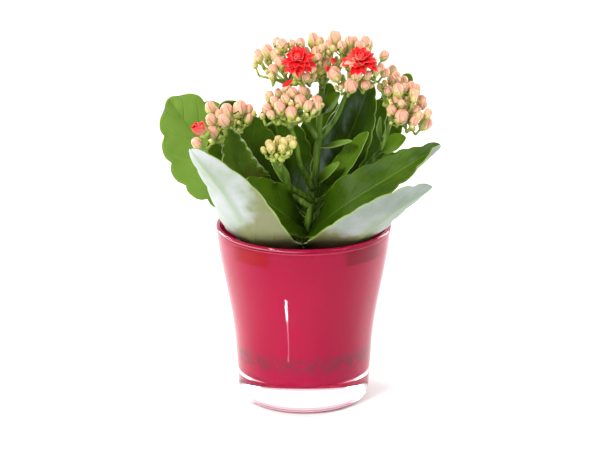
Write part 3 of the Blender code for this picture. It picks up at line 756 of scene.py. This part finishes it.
def leaf_blade(leaf):
    small = leaf.width < BRACT_WIDTH
    across, rows = (6, 22) if small else (16, 72)
    frames = leaf_frames(leaf, rows, small)
    cuts = lobe_cuts(leaf, frames)
    reach, lean = STAINS.get(leaf.name, (-1.0, 0.0))
    bm = bmesh.new()
    bm.loops.layers.uv.new("UVMap")
    tone = bm.verts.layers.float.new("tone")
    stain = bm.verts.layers.float.new("stain")
    shine = bm.verts.layers.float.new("shine")
    shine_at, shine_width = SHINES.get(leaf.name, (9.0, 1.0))
    flesh = bm.verts.layers.deform.verify()
    bmesh.ops.create_grid(bm, x_segments=across, y_segments=rows, size=1.0, calc_uvs=True)
    for vert in bm.verts:
        u, row = vert.co.x, round((vert.co.y + 1.0) / 2.0 * rows)
        t, normal = frames[row][0], frames[row][2]
        spot = blade_point(leaf, frames[row], u)
        if abs(u) > 0.01:
            spot = spot + cuts[1 if u > 0 else -1, row] * abs(u) ** 5
        if not small:
            ripple = noise.noise(spot * 55.0) * abs(u) + 0.4 * noise.noise(spot * 140.0)
            spot = spot + normal * (0.0009 * ripple)
        vert.co = spot
        vert[tone] = leaf.tone
        vert[stain] = min(max((reach + lean * u - t) / 0.22, 0.0), 1.0)
        vert[shine] = math.exp(-((u - shine_at) / shine_width) ** 2) * math.sin(math.pi * t) ** 2
        vert[flesh][0] = (1.0 - 0.45 * abs(u) ** 3) * (0.7 + 0.3 * (1 - t))
    return bm


print("half width at the middle of a blade:", round(blade_share(0.5, 1.0), 3))

# %% [markdown]
# ### Leaf finishes
#
# The upper side mixes a dark and a light green by the leaf's tone, with soft clouds over it.
# That tone is partly the leaf's own green and partly painted shade: leaves that stand in shade
# are given a lower tone. The upper side's veins come from the grid's map: one pale line up the
# middle, and side veins that sweep toward the margin. The underside is nearly white with a cold
# bloom, a painted duller green on leaves of low tone, greener along the midrib, and brown where
# the leaf has been bruised. The rim is yellow-green, reddish in places.
#
# Some shade and shine are painted into these colours rather than left to the lamps, so they stay
# put when the view or the light moves. The foot of each blade is darkened, for the deep shade
# between the leaves. The undersides at the back are made a duller green, a painted shade,
# because in the bright light from behind they would wash out to white. One leaf carries a
# painted bluish shine up its blade.

# %% Leaf finishes
def leaf_map(material):
    """The way across the leaf, 0 at its midrib and 1 at its margin, and the way along it."""
    side, ahead = own_map(material)
    off_middle = maths(material, "ABSOLUTE", maths(material, "SUBTRACT", side, 0.5))
    return times(material, off_middle, 2.0), ahead


def vein_lines(material, across, ahead):
    """1 on the side veins: lines that climb toward the margin, wavering a little."""
    waver = times(material, cloud(material, 60.0), 0.35)
    phase = maths(material, "MULTIPLY_ADD", ahead, 9.0, waver)
    phase = maths(material, "SUBTRACT", phase, times(material, across, 1.9))
    distance = maths(material, "ABSOLUTE", maths(material, "SUBTRACT",
                                                 maths(material, "FRACT", phase), 0.5))
    line = step_between(material, distance, 0.42, 0.50)
    return times(material, line, step_between(material, across, 0.95, 0.55))


leaf_top = new_material("leaf_upper_side", Specular_IOR_Level=0.07)
across, ahead = leaf_map(leaf_top)
veins = vein_lines(leaf_top, across, ahead)
midrib = step_between(leaf_top, across, 0.075, 0.0)
patch = cloud(leaf_top, 70.0, 4.0)
level = maths(leaf_top, "MULTIPLY_ADD", maths(leaf_top, "SUBTRACT", patch, 0.5), 0.55,
              attribute(leaf_top, "tone"))
green = blend_colours(leaf_top, step_between(leaf_top, level, 0.0, 0.55), rgb(0.012, 0.036, 0.001),
                      rgb(0.068, 0.140, 0.003))
green = blend_colours(leaf_top, step_between(leaf_top, level, 0.50, 1.05), green,
                      rgb(0.210, 0.365, 0.055))
green = blend_colours(leaf_top, midrib, green, rgb(0.17, 0.29, 0.04), 0.40)
green = blend_colours(leaf_top, veins, green, rgb(0.16, 0.28, 0.04), 0.10)
foot = step_between(leaf_top, ahead, 0.66, 0.14)
green = blend_colours(leaf_top, foot, green, rgb(0.010, 0.028, 0.001), 0.84)
# Painted shine: a bluish streak up the leaves listed in SHINES.
painted_shine = times(leaf_top, attribute(leaf_top, "shine"),
            step_between(leaf_top, cloud(leaf_top, 90.0, 5.0, (1, 1, 0.35)), 0.40, 0.68))
green = blend_colours(leaf_top, painted_shine, green, rgb(0.40, 0.50, 0.52), 0.85)
spots = step_between(leaf_top, cloud(leaf_top, 130.0, 5.0), 0.42, 0.62)
bruise = times(leaf_top, attribute(leaf_top, "stain"), spots)
green = blend_colours(leaf_top, bruise, green, rgb(0.20, 0.15, 0.02), 0.55)
margin = step_between(leaf_top, across, 0.96, 1.0)
feed(leaf_top, "Base Color", blend_colours(leaf_top, margin, green, rgb(0.22, 0.33, 0.04), 0.45))
feed(leaf_top, "Roughness",
     maths(leaf_top, "MULTIPLY_ADD", cloud(leaf_top, 220.0, 4.0), 0.25, 0.24))
relief = maths(leaf_top, "MULTIPLY_ADD", maths(leaf_top, "ADD", veins, midrib), -0.5,
               times(leaf_top, cloud(leaf_top, 900.0, 3.0), 0.35))
bump(leaf_top, relief, 0.00045, 0.7)

leaf_under = new_material("leaf_underside", Specular_IOR_Level=0.25)
across, ahead = leaf_map(leaf_under)
bloom = step_between(leaf_under, cloud(leaf_under, 45.0, 4.0), 0.30, 0.70)
bright = step_between(leaf_under, attribute(leaf_under, "tone"), 0.20, 0.60)
pale = blend_colours(leaf_under, bloom, rgb(0.31, 0.37, 0.29), rgb(0.50, 0.52, 0.54))
# Painted shade: leaves of low tone get a duller, greener underside.
underside_in_shade = blend_colours(leaf_under, bloom, rgb(0.19, 0.24, 0.19), rgb(0.35, 0.39, 0.37))
pale = blend_colours(leaf_under, bright, underside_in_shade, pale)
behind = step_between(leaf_under, position(leaf_under, 1), -0.008, 0.012)
pale = blend_colours(leaf_under, behind, pale, rgb(0.12, 0.18, 0.09), 0.80)
rib = step_between(leaf_under, across, 0.30, 0.0)
pale = blend_colours(leaf_under, rib, pale, rgb(0.24, 0.35, 0.18), 0.60)
blotch = step_between(leaf_under, maths(leaf_under, "MULTIPLY_ADD", cloud(leaf_under, 75.0, 5.0),
                                        1.6, attribute(leaf_under, "stain")), 1.00, 1.60)
pale = blend_colours(leaf_under, blotch, pale, rgb(0.18, 0.19, 0.060), 0.88)
edge = step_between(leaf_under, across, 0.95, 1.0)
feed(leaf_under, "Base Color", blend_colours(leaf_under, edge, pale, rgb(0.36, 0.50, 0.12), 0.6))
feed(leaf_under, "Roughness", maths(leaf_under, "MULTIPLY_ADD", bloom, 0.15, 0.40))
bump(leaf_under, maths(leaf_under, "ADD", vein_lines(leaf_under, across, ahead),
                       cloud(leaf_under, 500.0, 4.0)), 0.00025, 0.35)

leaf_rim = new_material("leaf_rim", Roughness=0.40)
redness = step_between(leaf_rim, cloud(leaf_rim, 110.0, 2.0), 0.52, 0.72)
feed(leaf_rim, "Base Color", blend_colours(leaf_rim, redness, rgb(0.17, 0.28, 0.03),
                                           rgb(0.26, 0.13, 0.04), 0.6))

# %% Leaves
LEAF_ROUNDING = 0.00022
BEVEL = dict(limit_method="ANGLE", angle_limit=math.radians(40), segments=2, profile=0.5,
             harden_normals=False)


def thicken(piece, thickness, rounding):
    """Flesh and a rounded edge for a sheet whose underside and rim are its next two finishes."""
    solid = piece.modifiers.new("flesh", "SOLIDIFY")
    solid.thickness = thickness
    solid.offset = 0.0
    solid.material_offset, solid.material_offset_rim = 1, 2
    if piece.vertex_groups:
        solid.vertex_group = piece.vertex_groups[0].name
    bevel = piece.modifiers.new("edge", "BEVEL")
    bevel.width = rounding
    for setting, value in BEVEL.items():
        setattr(bevel, setting, value)


for leaf in LEAVES:
    blade = finish_piece(leaf.name + "_blade", leaf_blade(leaf), [leaf_top, leaf_under, leaf_rim],
                         [leaf.name])
    blade.vertex_groups.new(name="flesh")
    thicken(blade, BRACT_THICKNESS if leaf.width < BRACT_WIDTH else LEAF_THICKNESS, LEAF_ROUNDING)
print("leaves made:", len(LEAVES))

# %% [markdown]
# ## Flower heads
#
# Most flowers are still shut. A bud is an egg of four petals wrapped round each other in a
# swirl, peach at the tip and greenish at the foot, in a small cup of four pointed sepals. The
# oldest buds are the largest and the pinkest. They stand on short green twigs that fork from
# the end of the stalk, so that the head is a loose dome.
#
# The table gives each bud's place in millimetres, drawn like the leaves, and its width. The buds
# repeat more than a hundred times, so each one is a low ball of a few dozen faces, and a map on
# it carries the swirl.

# %% Bud table
BUDS = {
    "flower_head_top_left": [
        (-27, -8, 112, 3.4), (-25, -8, 116, 4.5), (-20, -2, 118, 6.2), (-12, -6, 123, 6.8),
        (-7, -4, 123, 4.5), (-2, -1, 122, 5.6), (-15, -4, 116, 6.8), (-13, -9, 113, 6.2),
        (-17, -13, 111, 5.6), (-18, -17, 108, 3.4), (-3, -12, 109, 7.3), (1, -16, 107, 4.8),
        (4, -14, 111, 5.6), (5, -9, 105, 4.0), (10, -4, 110, 7.9), (-15, 2, 122, 5.2),
        (-2, 5, 120, 5.3), (-13, 10, 118, 7.0), (7, 2, 116, 6.7), (-25, 3, 115, 5.5),
        (-3, 12, 114, 5.6), (-20, 10, 111, 5.5), (5, 7, 110, 6.8)],
    "flower_head_top_middle": [
        (5, 8, 122, 6.8), (9, 6, 122, 5.6), (10, -7, 121, 4.0), (8, -8, 116, 4.5),
        (17, 3, 124, 8.5), (16, -7, 121, 3.4), (21, -3, 121, 5.6), (13, -4, 122, 5.1),
        (23, 3, 116, 5.2), (1, 3, 116, 6.3)],
    "flower_head_top_right": [
        (25, 2, 122, 5.6), (28, 4, 122, 5.6), (31, -9, 122, 5.6), (34, -12, 120, 4.5),
        (17, -13, 108, 7.9), (29, -17, 109, 6.8), (26, -15, 102, 7.9), (21, -12, 101, 3.4),
        (35, -16, 108, 4.5), (34, -15, 103, 5.6), (40, -14, 110, 4.5), (42, -11, 111, 4.5),
        (45, -9, 108, 5.1), (38, -14, 115, 5.1), (34, -2, 123, 6.5), (36, 6, 120, 6.0),
        (25, 10, 117, 6.9), (45, 3, 115, 5.7), (13, 3, 114, 7.0), (34, 12, 112, 6.9),
        (19, 10, 108, 5.9)],
    "flower_head_right": [
        (50, 9, 104, 6.2), (52, 4, 103, 5.1), (49, -1, 101, 5.1), (52, 0, 101, 4.5),
        (43, -2, 98, 4.5), (45, -6, 101, 3.4), (47, -10, 98, 5.1), (52, -14, 99, 6.2),
        (56, -3, 98, 5.1), (60, -1, 98, 5.1), (61, -9, 96, 5.6), (48, -12, 93, 2.3),
        (52, -11, 93, 5.1), (54, -15, 92, 4.0), (59, -3, 89, 6.8), (49, -13, 88, 5.6),
        (66, -6, 89, 5.6), (61, -13, 94, 3.4), (54, -14, 84, 7.9), (58, -7, 86, 4.5),
        (62, -9, 86, 6.2), (64, -14, 85, 4.5), (69, -10, 85, 5.1), (61, -13, 81, 5.6),
        (61, -8, 76, 2.8), (68, -6, 78, 7.3),
        (63, 9, 93, 6.2), (56, 10, 98, 5.8), (66, 6, 88, 5.5)],
    "flower_head_centre": [
        (-19, -12, 95, 5.6), (-14, -12, 97, 4.5), (-9, -12, 99, 4.5), (-6, -17, 98, 5.6),
        (-10, -21, 96, 5.6), (-16, -20, 94, 5.1), (-13, -24, 92, 6.8), (-20, -20, 90, 6.2),
        (-23, -16, 85, 3.4), (-18, -24, 88, 4.8), (-7, -24, 94, 3.4), (-7, -27, 90, 6.2),
        (-2, -21, 95, 6.8), (2, -25, 93, 5.1), (7, -15, 93, 6.8), (7, -22, 92, 4.5),
        (5, -24, 90, 3.4), (10, -18, 92, 2.8), (-1, -14, 98, 5.4), (1, -7, 96, 5.8),
        (-10, -3, 94, 6.2), (-1, -2, 90, 6.7), (-16, -3, 88, 5.7)],
    "flower_head_left": [
        (-51, -24, 85, 6.2), (-43, -13, 86, 7.3), (-47, -15, 86, 4.5), (-44, -25, 84, 6.8),
        (-36, -14, 88, 7.6), (-31, -12, 88, 5.1), (-28, -14, 86, 2.8), (-50, -26, 78, 6.2),
        (-59, -19, 70, 6.2), (-52, -13, 89, 6.0), (-50, -7, 84, 6.6), (-31, -13, 83, 5.0),
        (-41, -6, 80, 6.7)],
    "flower_head_low": [
        (-22, -29, 69, 3.4), (-19, -27, 72, 4.5), (-18, -32, 71, 5.1), (-14, -25, 74, 4.5),
        (-11, -29, 73, 5.1), (-12, -33, 71, 4.5), (-15, -32, 67, 2.3), (-8, -20, 73, 4.5),
        (-6, -19, 73, 3.4), (-6, -30, 73, 4.5), (-15, -21, 70, 5.3)],
}
HEAD_STEMS = {"flower_head_top_left": "stalk_top_left", "flower_head_top_middle": "main_stem",
              "flower_head_top_right": "stalk_top_right", "flower_head_right": "stalk_right",
              "flower_head_centre": "stalk_centre", "flower_head_left": "stalk_left",
              "flower_head_low": "stalk_low"}
print("buds:", sum(len(buds) for buds in BUDS.values()))

# %% [markdown]
# ### Bud and twig finishes
#
# The bud's own map runs round it and up it. Four slanting lines across it are the petals'
# edges, and the colour climbs from yellow-green through cream to peach. How pink a bud is
# depends on how old it is, which each bud carries as one number.

# %% Bud finishes
bud_skin = new_material("peach_bud", Roughness=0.42, Specular_IOR_Level=0.4,
                        Subsurface_Weight=0.15, Subsurface_Scale=0.001)
round_it, up_it = own_map(bud_skin)
ripe = attribute(bud_skin, "ripe")
mottle = cloud(bud_skin, 620.0, 5.0)
level = maths(bud_skin, "MULTIPLY_ADD", maths(bud_skin, "SUBTRACT", mottle, 0.5), 0.8, up_it)
cream = blend_colours(bud_skin, step_between(bud_skin, ripe, 0.0, 0.35), rgb(0.60, 0.57, 0.15),
                      rgb(0.77, 0.57, 0.33))
skin = blend_colours(bud_skin, step_between(bud_skin, level, 0.20, 0.60), rgb(0.42, 0.47, 0.06),
                     cream)
pink = times(bud_skin, step_between(bud_skin, level, 0.34, 0.78), ripe)
skin = blend_colours(bud_skin, pink, skin, rgb(0.76, 0.33, 0.24))
turn = maths(bud_skin, "MULTIPLY_ADD", up_it, 1.3, times(bud_skin, round_it, 4.0))
from_edge = maths(bud_skin, "FRACT", turn)
line = times(bud_skin, step_between(bud_skin, from_edge, 0.26, 0.0),
             step_between(bud_skin, up_it, 0.20, 0.50))
skin = blend_colours(bud_skin, line, skin, rgb(0.50, 0.14, 0.09), 0.80)
# Painted highlight: a pale cream streak along the edge of each wrapped petal.
painted_edge_highlight = step_between(bud_skin, from_edge, 0.72, 1.0)
feed(bud_skin, "Base Color", blend_colours(bud_skin, painted_edge_highlight, skin, rgb(0.86, 0.70, 0.48), 0.50))
bump(bud_skin, maths(bud_skin, "ADD", from_edge, mottle), 0.00035, 0.5)

twig_green = new_material("green_twig", Roughness=0.42)
climb = attribute(twig_green, "light")
feed(twig_green, "Base Color",
     blend_colours(twig_green, maths(twig_green, "MULTIPLY_ADD", cloud(twig_green, 300.0), 0.5,
                                     climb),
                   rgb(0.040, 0.105, 0.008), rgb(0.42, 0.50, 0.075)))
bump(twig_green, cloud(twig_green, 900.0), 0.0002, 0.5)


# %% Bud, cup and twig shapes
def add_bud(bm, base, heading, width, age, squat=1.15):
    """A ball pulled into an egg that is fullest above its middle, with four wrapped petals."""
    ball = bmesh.ops.create_uvsphere(bm, u_segments=12, v_segments=9, radius=1.0, calc_uvs=True)
    stand = Matrix.Translation(base) @ turn_to(heading)
    ripe = bm.verts.layers.float["ripe"]
    for vert in ball["verts"]:
        up = math.acos(max(-1.0, min(1.0, -vert.co.z))) / math.pi
        turn = math.atan2(vert.co.y, vert.co.x) / math.tau
        fold = 1.0 + 0.12 * ((4.0 * turn + 1.3 * up) % 1.0 - 0.5) * math.sin(math.pi * up)
        reach = 0.5 * width * math.sin(math.pi * up) ** 0.8 * (0.78 + 0.36 * up) * fold
        spot = Vector((reach * math.cos(turn * math.tau), reach * math.sin(turn * math.tau),
                       squat * width * (0.5 - 0.5 * math.cos(math.pi * up))))
        vert.co = stand @ spot
        vert[ripe] = age


def add_cup(bm, base, heading, width):
    """Four pointed sepals that hug the foot of a bud: a cone with a zigzag edge."""
    cup = bmesh.ops.create_cone(bm, cap_ends=True, segments=8, radius1=0.10, radius2=0.5, depth=1.0)
    stand = Matrix.Translation(base) @ turn_to(heading)
    light = bm.verts.layers.float["light"]
    for vert in cup["verts"]:
        corner = round(math.atan2(vert.co.y, vert.co.x) / math.tau * 8) % 2
        if vert.co.z > 0:
            spot = vert.co * (0.95 if corner else 1.05) * width
            spot.z = width * (0.34 if corner else 0.72)
            vert[light] = 0.75 if corner else 1.0
        else:
            spot = Vector((vert.co.x * width, vert.co.y * width, -0.04 * width))
            vert[light] = 0.35
        vert.co = stand @ spot


def add_twig(bm, start, end, radius, shade=0.15):
    run = end - start
    twig = bmesh.ops.create_cone(bm, cap_ends=True, segments=6, radius1=radius,
                                 radius2=radius * 0.8, depth=run.length,
                                 matrix=Matrix.Translation((start + end) / 2) @ turn_to(run))
    light = bm.verts.layers.float["light"]
    for vert in twig["verts"]:
        vert[light] = shade


def stalk_end(name):
    """The knot at the end of a stalk, and the way the stalk points there."""
    path = PATHS[HEAD_STEMS[name]]
    rise = (path[-1] - path[-2]).normalized()
    return path[-1] + rise * 0.0015, rise


# %% Flower heads
HUB_RADIUS = 0.0021
FORK_RADIUS, TWIG_RADIUS, BUD_TWIG_RADIUS, SIDE_TWIG_RADIUS = 0.0011, 0.00085, 0.00080, 0.0005
random.seed(5)
for name, buds in BUDS.items():
    hub, rise = stalk_end(name)
    eggs, green = bmesh.new(), bmesh.new()
    eggs.loops.layers.uv.new("UVMap")
    eggs.verts.layers.float.new("ripe")
    green.verts.layers.float.new("light")
    bmesh.ops.create_uvsphere(green, u_segments=10, v_segments=8, radius=HUB_RADIUS,
                              matrix=Matrix.Translation(hub))
    groups = {}
    for x, y, z, width in buds:
        centre = place(x, y, z)
        out = centre - hub
        heading = (out.normalized() + Vector((0, 0.25, 1.2))).normalized()
        heading += Vector([random.uniform(-0.20, 0.20) for _ in range(3)])
        heading.normalize()
        width *= MM * 1.02
        base = centre - heading * width * 0.60
        age = min(max((width / MM - 3.0) / 2.2, 0.0), 1.0) * random.uniform(0.70, 1.0)
        age *= 0.15 if name == "flower_head_low" else 1.0
        add_bud(eggs, base, heading, width, age, random.uniform(1.15, 1.40))
        add_cup(green, base, heading, width)
        if random.random() < 0.6:
            small = random.uniform(1.8, 2.8) * MM
            lean = Vector((random.uniform(-1, 1), random.uniform(-1, 0.6), 0.3)).normalized()
            spot = base + lean * width * 0.60 - heading * small * 0.6
            add_bud(eggs, spot, (heading + lean).normalized(), small, 0.1, 1.3)
            add_cup(green, spot, (heading + lean).normalized(), small)
            add_twig(green, base - heading * 0.0015, spot, SIDE_TWIG_RADIUS, 0.4)
        sector = round(math.atan2(out.y, out.x) / math.tau * 5) % 5
        ring = math.hypot(out.x, out.y) > 0.011
        groups.setdefault((sector, ring), []).append((base, heading, width))
    for members in groups.values():
        middle = sum((base for base, _, _ in members), Vector()) / len(members)
        fork = hub + (middle - hub) * 0.58
        fork.z -= 0.12 * (middle.z - hub.z)
        add_twig(green, hub, fork, FORK_RADIUS, 0.25)
        branch = (fork - hub).normalized()
        add_cup(green, fork - branch * 0.001, branch, 0.0045)
        for base, heading, width in members:
            bend = base - heading * min(0.004, (base - fork).length * 0.4)
            add_twig(green, fork, bend, TWIG_RADIUS, 0.25)
            add_twig(green, bend, base + heading * 0.0003, BUD_TWIG_RADIUS, 0.45)
    finish_piece(name + "_buds", eggs, [bud_skin], [name])
    finish_piece(name + "_twigs", green, [twig_green], [])
print("heads:", len(BUDS))

# %% [markdown]
# ## Open flowers
#
# Two buds are fully open and one is half open. An open flower is a flat rosette of many
# pointed petals in rings: the outer ones lie back, each ring further in stands up more, and the
# innermost curl into a cup. A petal is bright red above and pale pink below, so where a petal
# curls in, its pale back shows as a light crescent. Each petal is a grid of a few cells, and
# Solidify gives it its second, paler side.

# %% Petal finishes
def petal_finish(name, colour, edge_colour, roughness=0.42):
    petal = new_material(name, Roughness=roughness, Specular_IOR_Level=0.3)
    _, outward = own_map(petal)
    shade = blend_colours(petal, step_between(petal, outward, 0.05, 0.9), colour, edge_colour)
    shade = blend_colours(petal, cloud(petal, 700.0, 3.0), shade, rgb(0.45, 0.004, 0.006), 0.25)
    feed(petal, "Base Color", blend_colours(petal, attribute(petal, "pale"), shade,
                                            rgb(0.90, 0.54, 0.40)))
    bump(petal, cloud(petal, 1500.0, 2.0, (1, 1, 1)), 0.00025, 0.5)
    return petal


petal_red = petal_finish("red_petal", rgb(0.74, 0.005, 0.010), rgb(0.86, 0.008, 0.012))
petal_back = petal_finish("pale_petal_back", rgb(0.90, 0.66, 0.48), rgb(0.86, 0.10, 0.08), 0.5)
petal_rim = new_material("petal_rim", Base_Color=rgb(0.80, 0.02, 0.02), Roughness=0.5)
PETAL_FINISHES = [petal_red, petal_back, petal_rim]
PETAL_THICKNESS, PETAL_ROUNDING = 0.00035, 0.00008


# %% Petals
def add_petal(bm, stand, turn, root, rise, curl, size, paleness=0.0):
    """A small grid, pointed at its tip, that leaves the middle at an angle and curls on."""
    length, width, cup = size
    grid = bmesh.ops.create_grid(bm, x_segments=4, y_segments=7, size=1.0, calc_uvs=True)
    pale = bm.verts.layers.float["pale"]
    spin = Matrix.Rotation(turn, 4, "Z")
    for vert in grid["verts"]:
        u, s = vert.co.x, (vert.co.y + 1.0) / 2.0
        lean = rise + curl * s / 2.0
        half = 0.5 * width * max(math.sin(math.pi * min(s, 1.0) ** 1.30), 0.0) ** 0.75 + 0.0001
        half += 0.10 * width * (1.0 - s)
        out = root + length * s * math.cos(lean)
        lift = length * s * math.sin(lean)
        bowl = cup * half * u * u
        spot = Vector((out - bowl * math.sin(lean), -u * half, lift + bowl * math.cos(lean)))
        vert.co = stand @ spin @ spot
        vert[pale] = paleness


def flower(name, centre, face, rings, size, pale_ways):
    """Rings of petals round a flower's middle; in each pale way, one petal shows its pale back."""
    stand = Matrix.Translation(centre) @ turn_to(face)
    bm = bmesh.new()
    bm.loops.layers.uv.new("UVMap")
    bm.verts.layers.float.new("pale")
    count = 0
    for ring, (number, root, height, rise, curl, length, width, cup) in enumerate(rings):
        level = stand @ Matrix.Translation((0, 0, height * MM * size))
        turns = [math.tau * (i + 0.5 * (ring % 2)) / number + random.uniform(-0.2, 0.2)
                 for i in range(number)]
        for i, turn in enumerate(turns):
            grown = random.uniform(0.84, 1.08) * MM * size
            out = stand.to_3x3() @ Vector((math.cos(turn), math.sin(turn), 0))
            pale = max([(out.dot(way) - 0.8) * 6.0 for at, way in pale_ways if at == ring],
                       default=0.0)
            add_petal(bm, level, turn, root * MM * size, math.radians(rise + random.uniform(-9, 9)),
                      math.radians(curl), (length * grown, width * grown, cup),
                      min(max(pale, 0.0), 1.0))
            count += 1
    petals = finish_piece(name + "_petals", bm, PETAL_FINISHES, [name])
    thicken(petals, PETAL_THICKNESS, PETAL_ROUNDING)
    return count


# Each ring: how many petals, how far out and how high they start, the angle they rise at, how
# they curl, and each petal's length, width and cup.
ROSETTE = [(13, 0.8, -1.4, 6, -22, 9.2, 3.3, 0.30), (13, 0.7, -0.8, 16, -14, 8.6, 3.3, 0.35),
           (12, 0.6, 0.0, 30, -4, 7.6, 3.3, 0.45), (10, 0.5, 0.4, 46, 14, 6.2, 3.2, 0.55),
           (8, 0.4, 0.8, 62, 50, 4.8, 3.2, 0.60), (5, 0.3, 1.0, 76, 80, 3.8, 3.0, 0.65),
           (3, 0.1, 1.0, 82, 90, 2.8, 2.4, 0.70)]
HALF_OPEN = [(5, 0.6, -1.5, 42, 50, 9.0, 7.4, 0.60), (4, 0.4, -0.4, 58, 45, 8.4, 6.0, 0.65),
             (3, 0.2, 0.5, 74, 40, 7.8, 4.6, 0.70)]
FLOWERS = [("flower_left", (-3, -20, 118), (-0.10, -0.60, 0.80), ROSETTE, 1.00,
            [(3, (-0.9, -0.2, -0.2)), (4, (-0.9, -0.3, 0.2)), (5, (1.0, 0, 0)),
             (4, (1.0, 0.1, 0.2))]),
           ("flower_right", (31, -18, 117), (0.10, -0.42, 0.90), ROSETTE, 1.02,
            [(1, (-0.9, -0.4, -0.2)), (2, (-0.8, -0.5, -0.3)), (3, (-0.7, -0.6, -0.3)),
             (4, (0, 0.8, 0.6)), (5, (-0.2, 0.8, 0.5))]),
           ("flower_half_open", (-55, -30, 80), (-0.62, -0.40, 0.66), HALF_OPEN, 0.92,
            [(0, (0.7, -0.6, -0.2)), (0, (0, -0.9, -0.2)), (1, (0.5, -0.8, 0))])]
CARRIERS = {"flower_left": "flower_head_top_left", "flower_right": "flower_head_top_right",
            "flower_half_open": "flower_head_left"}
random.seed(8)
for name, centre, face, rings, size, pale_ways in FLOWERS:
    centre, face = place(*centre), Vector(face).normalized()
    ways = [(ring, Vector(way).normalized()) for ring, way in pale_ways]
    count = flower(name, centre, face, rings, size, ways)
    bm = bmesh.new()
    bm.verts.layers.float.new("light")
    back = centre - face * 0.0050 * size
    add_cup(bm, back, face, 0.0075 * size)
    add_twig(bm, stalk_end(CARRIERS[name])[0], back, 0.0009)
    finish_piece(name + "_cup", bm, [twig_green], [])
    print(name, count, "petals")

# %% [markdown]
# One petal of the left flower has come loose and hangs below its head, and a third flower, on
# the right-hand head, is just breaking out of its bud: three red tips show between the buds.

# %% Loose petals
bm = bmesh.new()
bm.loops.layers.uv.new("UVMap")
bm.verts.layers.float.new("pale")
LOOSE = [((-6, -16, 106), (-0.80, -0.15, -0.50), 7.2, 2.2),
         ((17, -15, 115), (-0.35, -0.60, 0.60), 5.0, 3.0),
         ((20, -13, 113), (0.50, -0.55, 0.35), 5.5, 3.0),
         ((14, -13, 112), (-0.30, -0.80, 0.10), 5.0, 3.0)]
for spot, heading, length, width in LOOSE:
    stand = Matrix.Translation(place(*spot)) @ turn_to(Vector(heading))
    add_petal(bm, stand, math.pi, 0.0, math.radians(90), math.radians(-10),
              (length * MM, width * MM, 0.3))
loose = finish_piece("loose_petals", bm, PETAL_FINISHES, [])
thicken(loose, PETAL_THICKNESS, PETAL_ROUNDING)
print("loose petals:", len(LOOSE))

# %% [markdown]
# ## Table, light and camera
#
# The plant stands on a plain white table in a bright studio. Most of the light is a white sky,
# brighter behind and beside the plant than in front of it. That is what puts the pale bands at
# the two edges of the glass and leaves the red in the middle deep. One large soft light from
# the upper left models the leaves, a weaker one fills them from the right, and a panel behind
# each side of the plant lights the edges of the glass. Two narrow strips near the table make
# the slim highlight on the glass and its tail; they light nothing but reflections.

# %% Table
bm = bmesh.new()
bmesh.ops.create_grid(bm, x_segments=1, y_segments=1, size=4.0)
mesh = bpy.data.meshes.new("table")
bm.to_mesh(mesh)
bm.free()
table_white = new_material("table_white", Roughness=0.7, Specular_IOR_Level=0.2)
feed(table_white, "Base Color", blend_colours(table_white, cloud(table_white, 3.0),
                                              rgb(0.93, 0.93, 0.93), rgb(0.96, 0.96, 0.96)))
mesh.materials.append(table_white)
mesh.transform(Matrix.Translation((0, 0, -0.0003)))
table = bpy.data.objects.new("table", mesh)
bpy.context.scene.collection.objects.link(table)
table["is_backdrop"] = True
print("table:", [round(x, 1) for x in table.dimensions])

# %% Light
world = bpy.data.worlds.new("studio")
bpy.context.scene.world = world
world.use_nodes = True
sky = world.node_tree.nodes["Background"]
direction = node(world, "TexCoord", {}, output=0)
depth = node(world, "SeparateXYZ", {0: direction}, output=1)
behind = node(world, "MapRange", {"Value": depth, "From Min": -0.75, "From Max": 0.30,
                                  "To Min": 0.22, "To Max": 1.15}, interpolation_type="SMOOTHSTEP")
world.node_tree.links.new(behind, sky.inputs["Strength"])
sky.inputs["Color"].default_value = rgb(1.0, 1.0, 1.0)


def soft_light(name, where, aim, size, power):
    data = bpy.data.lights.new(name, "AREA")
    data.shape, data.size, data.size_y, data.energy = "RECTANGLE", size[0], size[1], power
    lamp = bpy.data.objects.new(name, data)
    lamp.location = where
    lamp.rotation_euler = (Vector(aim) - Vector(where)).to_track_quat("-Z", "Y").to_euler()
    lamp.visible_camera = False
    bpy.context.scene.collection.objects.link(lamp)
    return lamp


soft_light("key_upper_left", (-1.1, -1.2, 1.5), (0, 0, 0.12), (0.6, 0.6), 42.0)
soft_light("fill_right", (1.4, -1.2, 0.8), (0, 0, 0.12), (0.8, 0.8), 8.0)
for side in (-1, 1):
    soft_light("edge_panel", (side * 0.95, 0.75, 0.35), (0, 0, 0.10), (0.5, 1.1), 16.0)
strip = soft_light("strip", (-0.0345, -0.0885, 0.021), (-0.0115, -0.044, 0.058), (0.005, 0.012),
                   0.015)
tail = soft_light("strip_tail", (-0.0335, -0.0885, 0.0062), (-0.0115, -0.044, 0.043),
                  (0.0025, 0.010), 0.001)
strip.visible_diffuse = tail.visible_diffuse = False
bpy.context.scene.view_settings.view_transform = "Standard"
print("lights: a sky and", len(bpy.data.lights), "lamps")

# %% Camera
camera_data = bpy.data.cameras.new("camera")
camera_data.lens = 127.14
camera_data.sensor_width = 36.0
camera = bpy.data.objects.new("camera", camera_data)
camera.location = (-0.0021, -1.149, 0.471)
aim = Vector((-0.0021, 0.0, 0.101)) - camera.location
camera.rotation_euler = aim.to_track_quat("-Z", "Y").to_euler()
bpy.context.scene.collection.objects.link(camera)
bpy.context.scene.camera = camera
print("camera:", [round(x, 3) for x in camera.location])

# %% Measure and finish
sizes = {"cad": cad_box, "visual": [list(corner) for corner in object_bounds()]}
for name, corners in sizes.items():
    print(name, [[round(x, 4) for x in corner] for corner in corners])
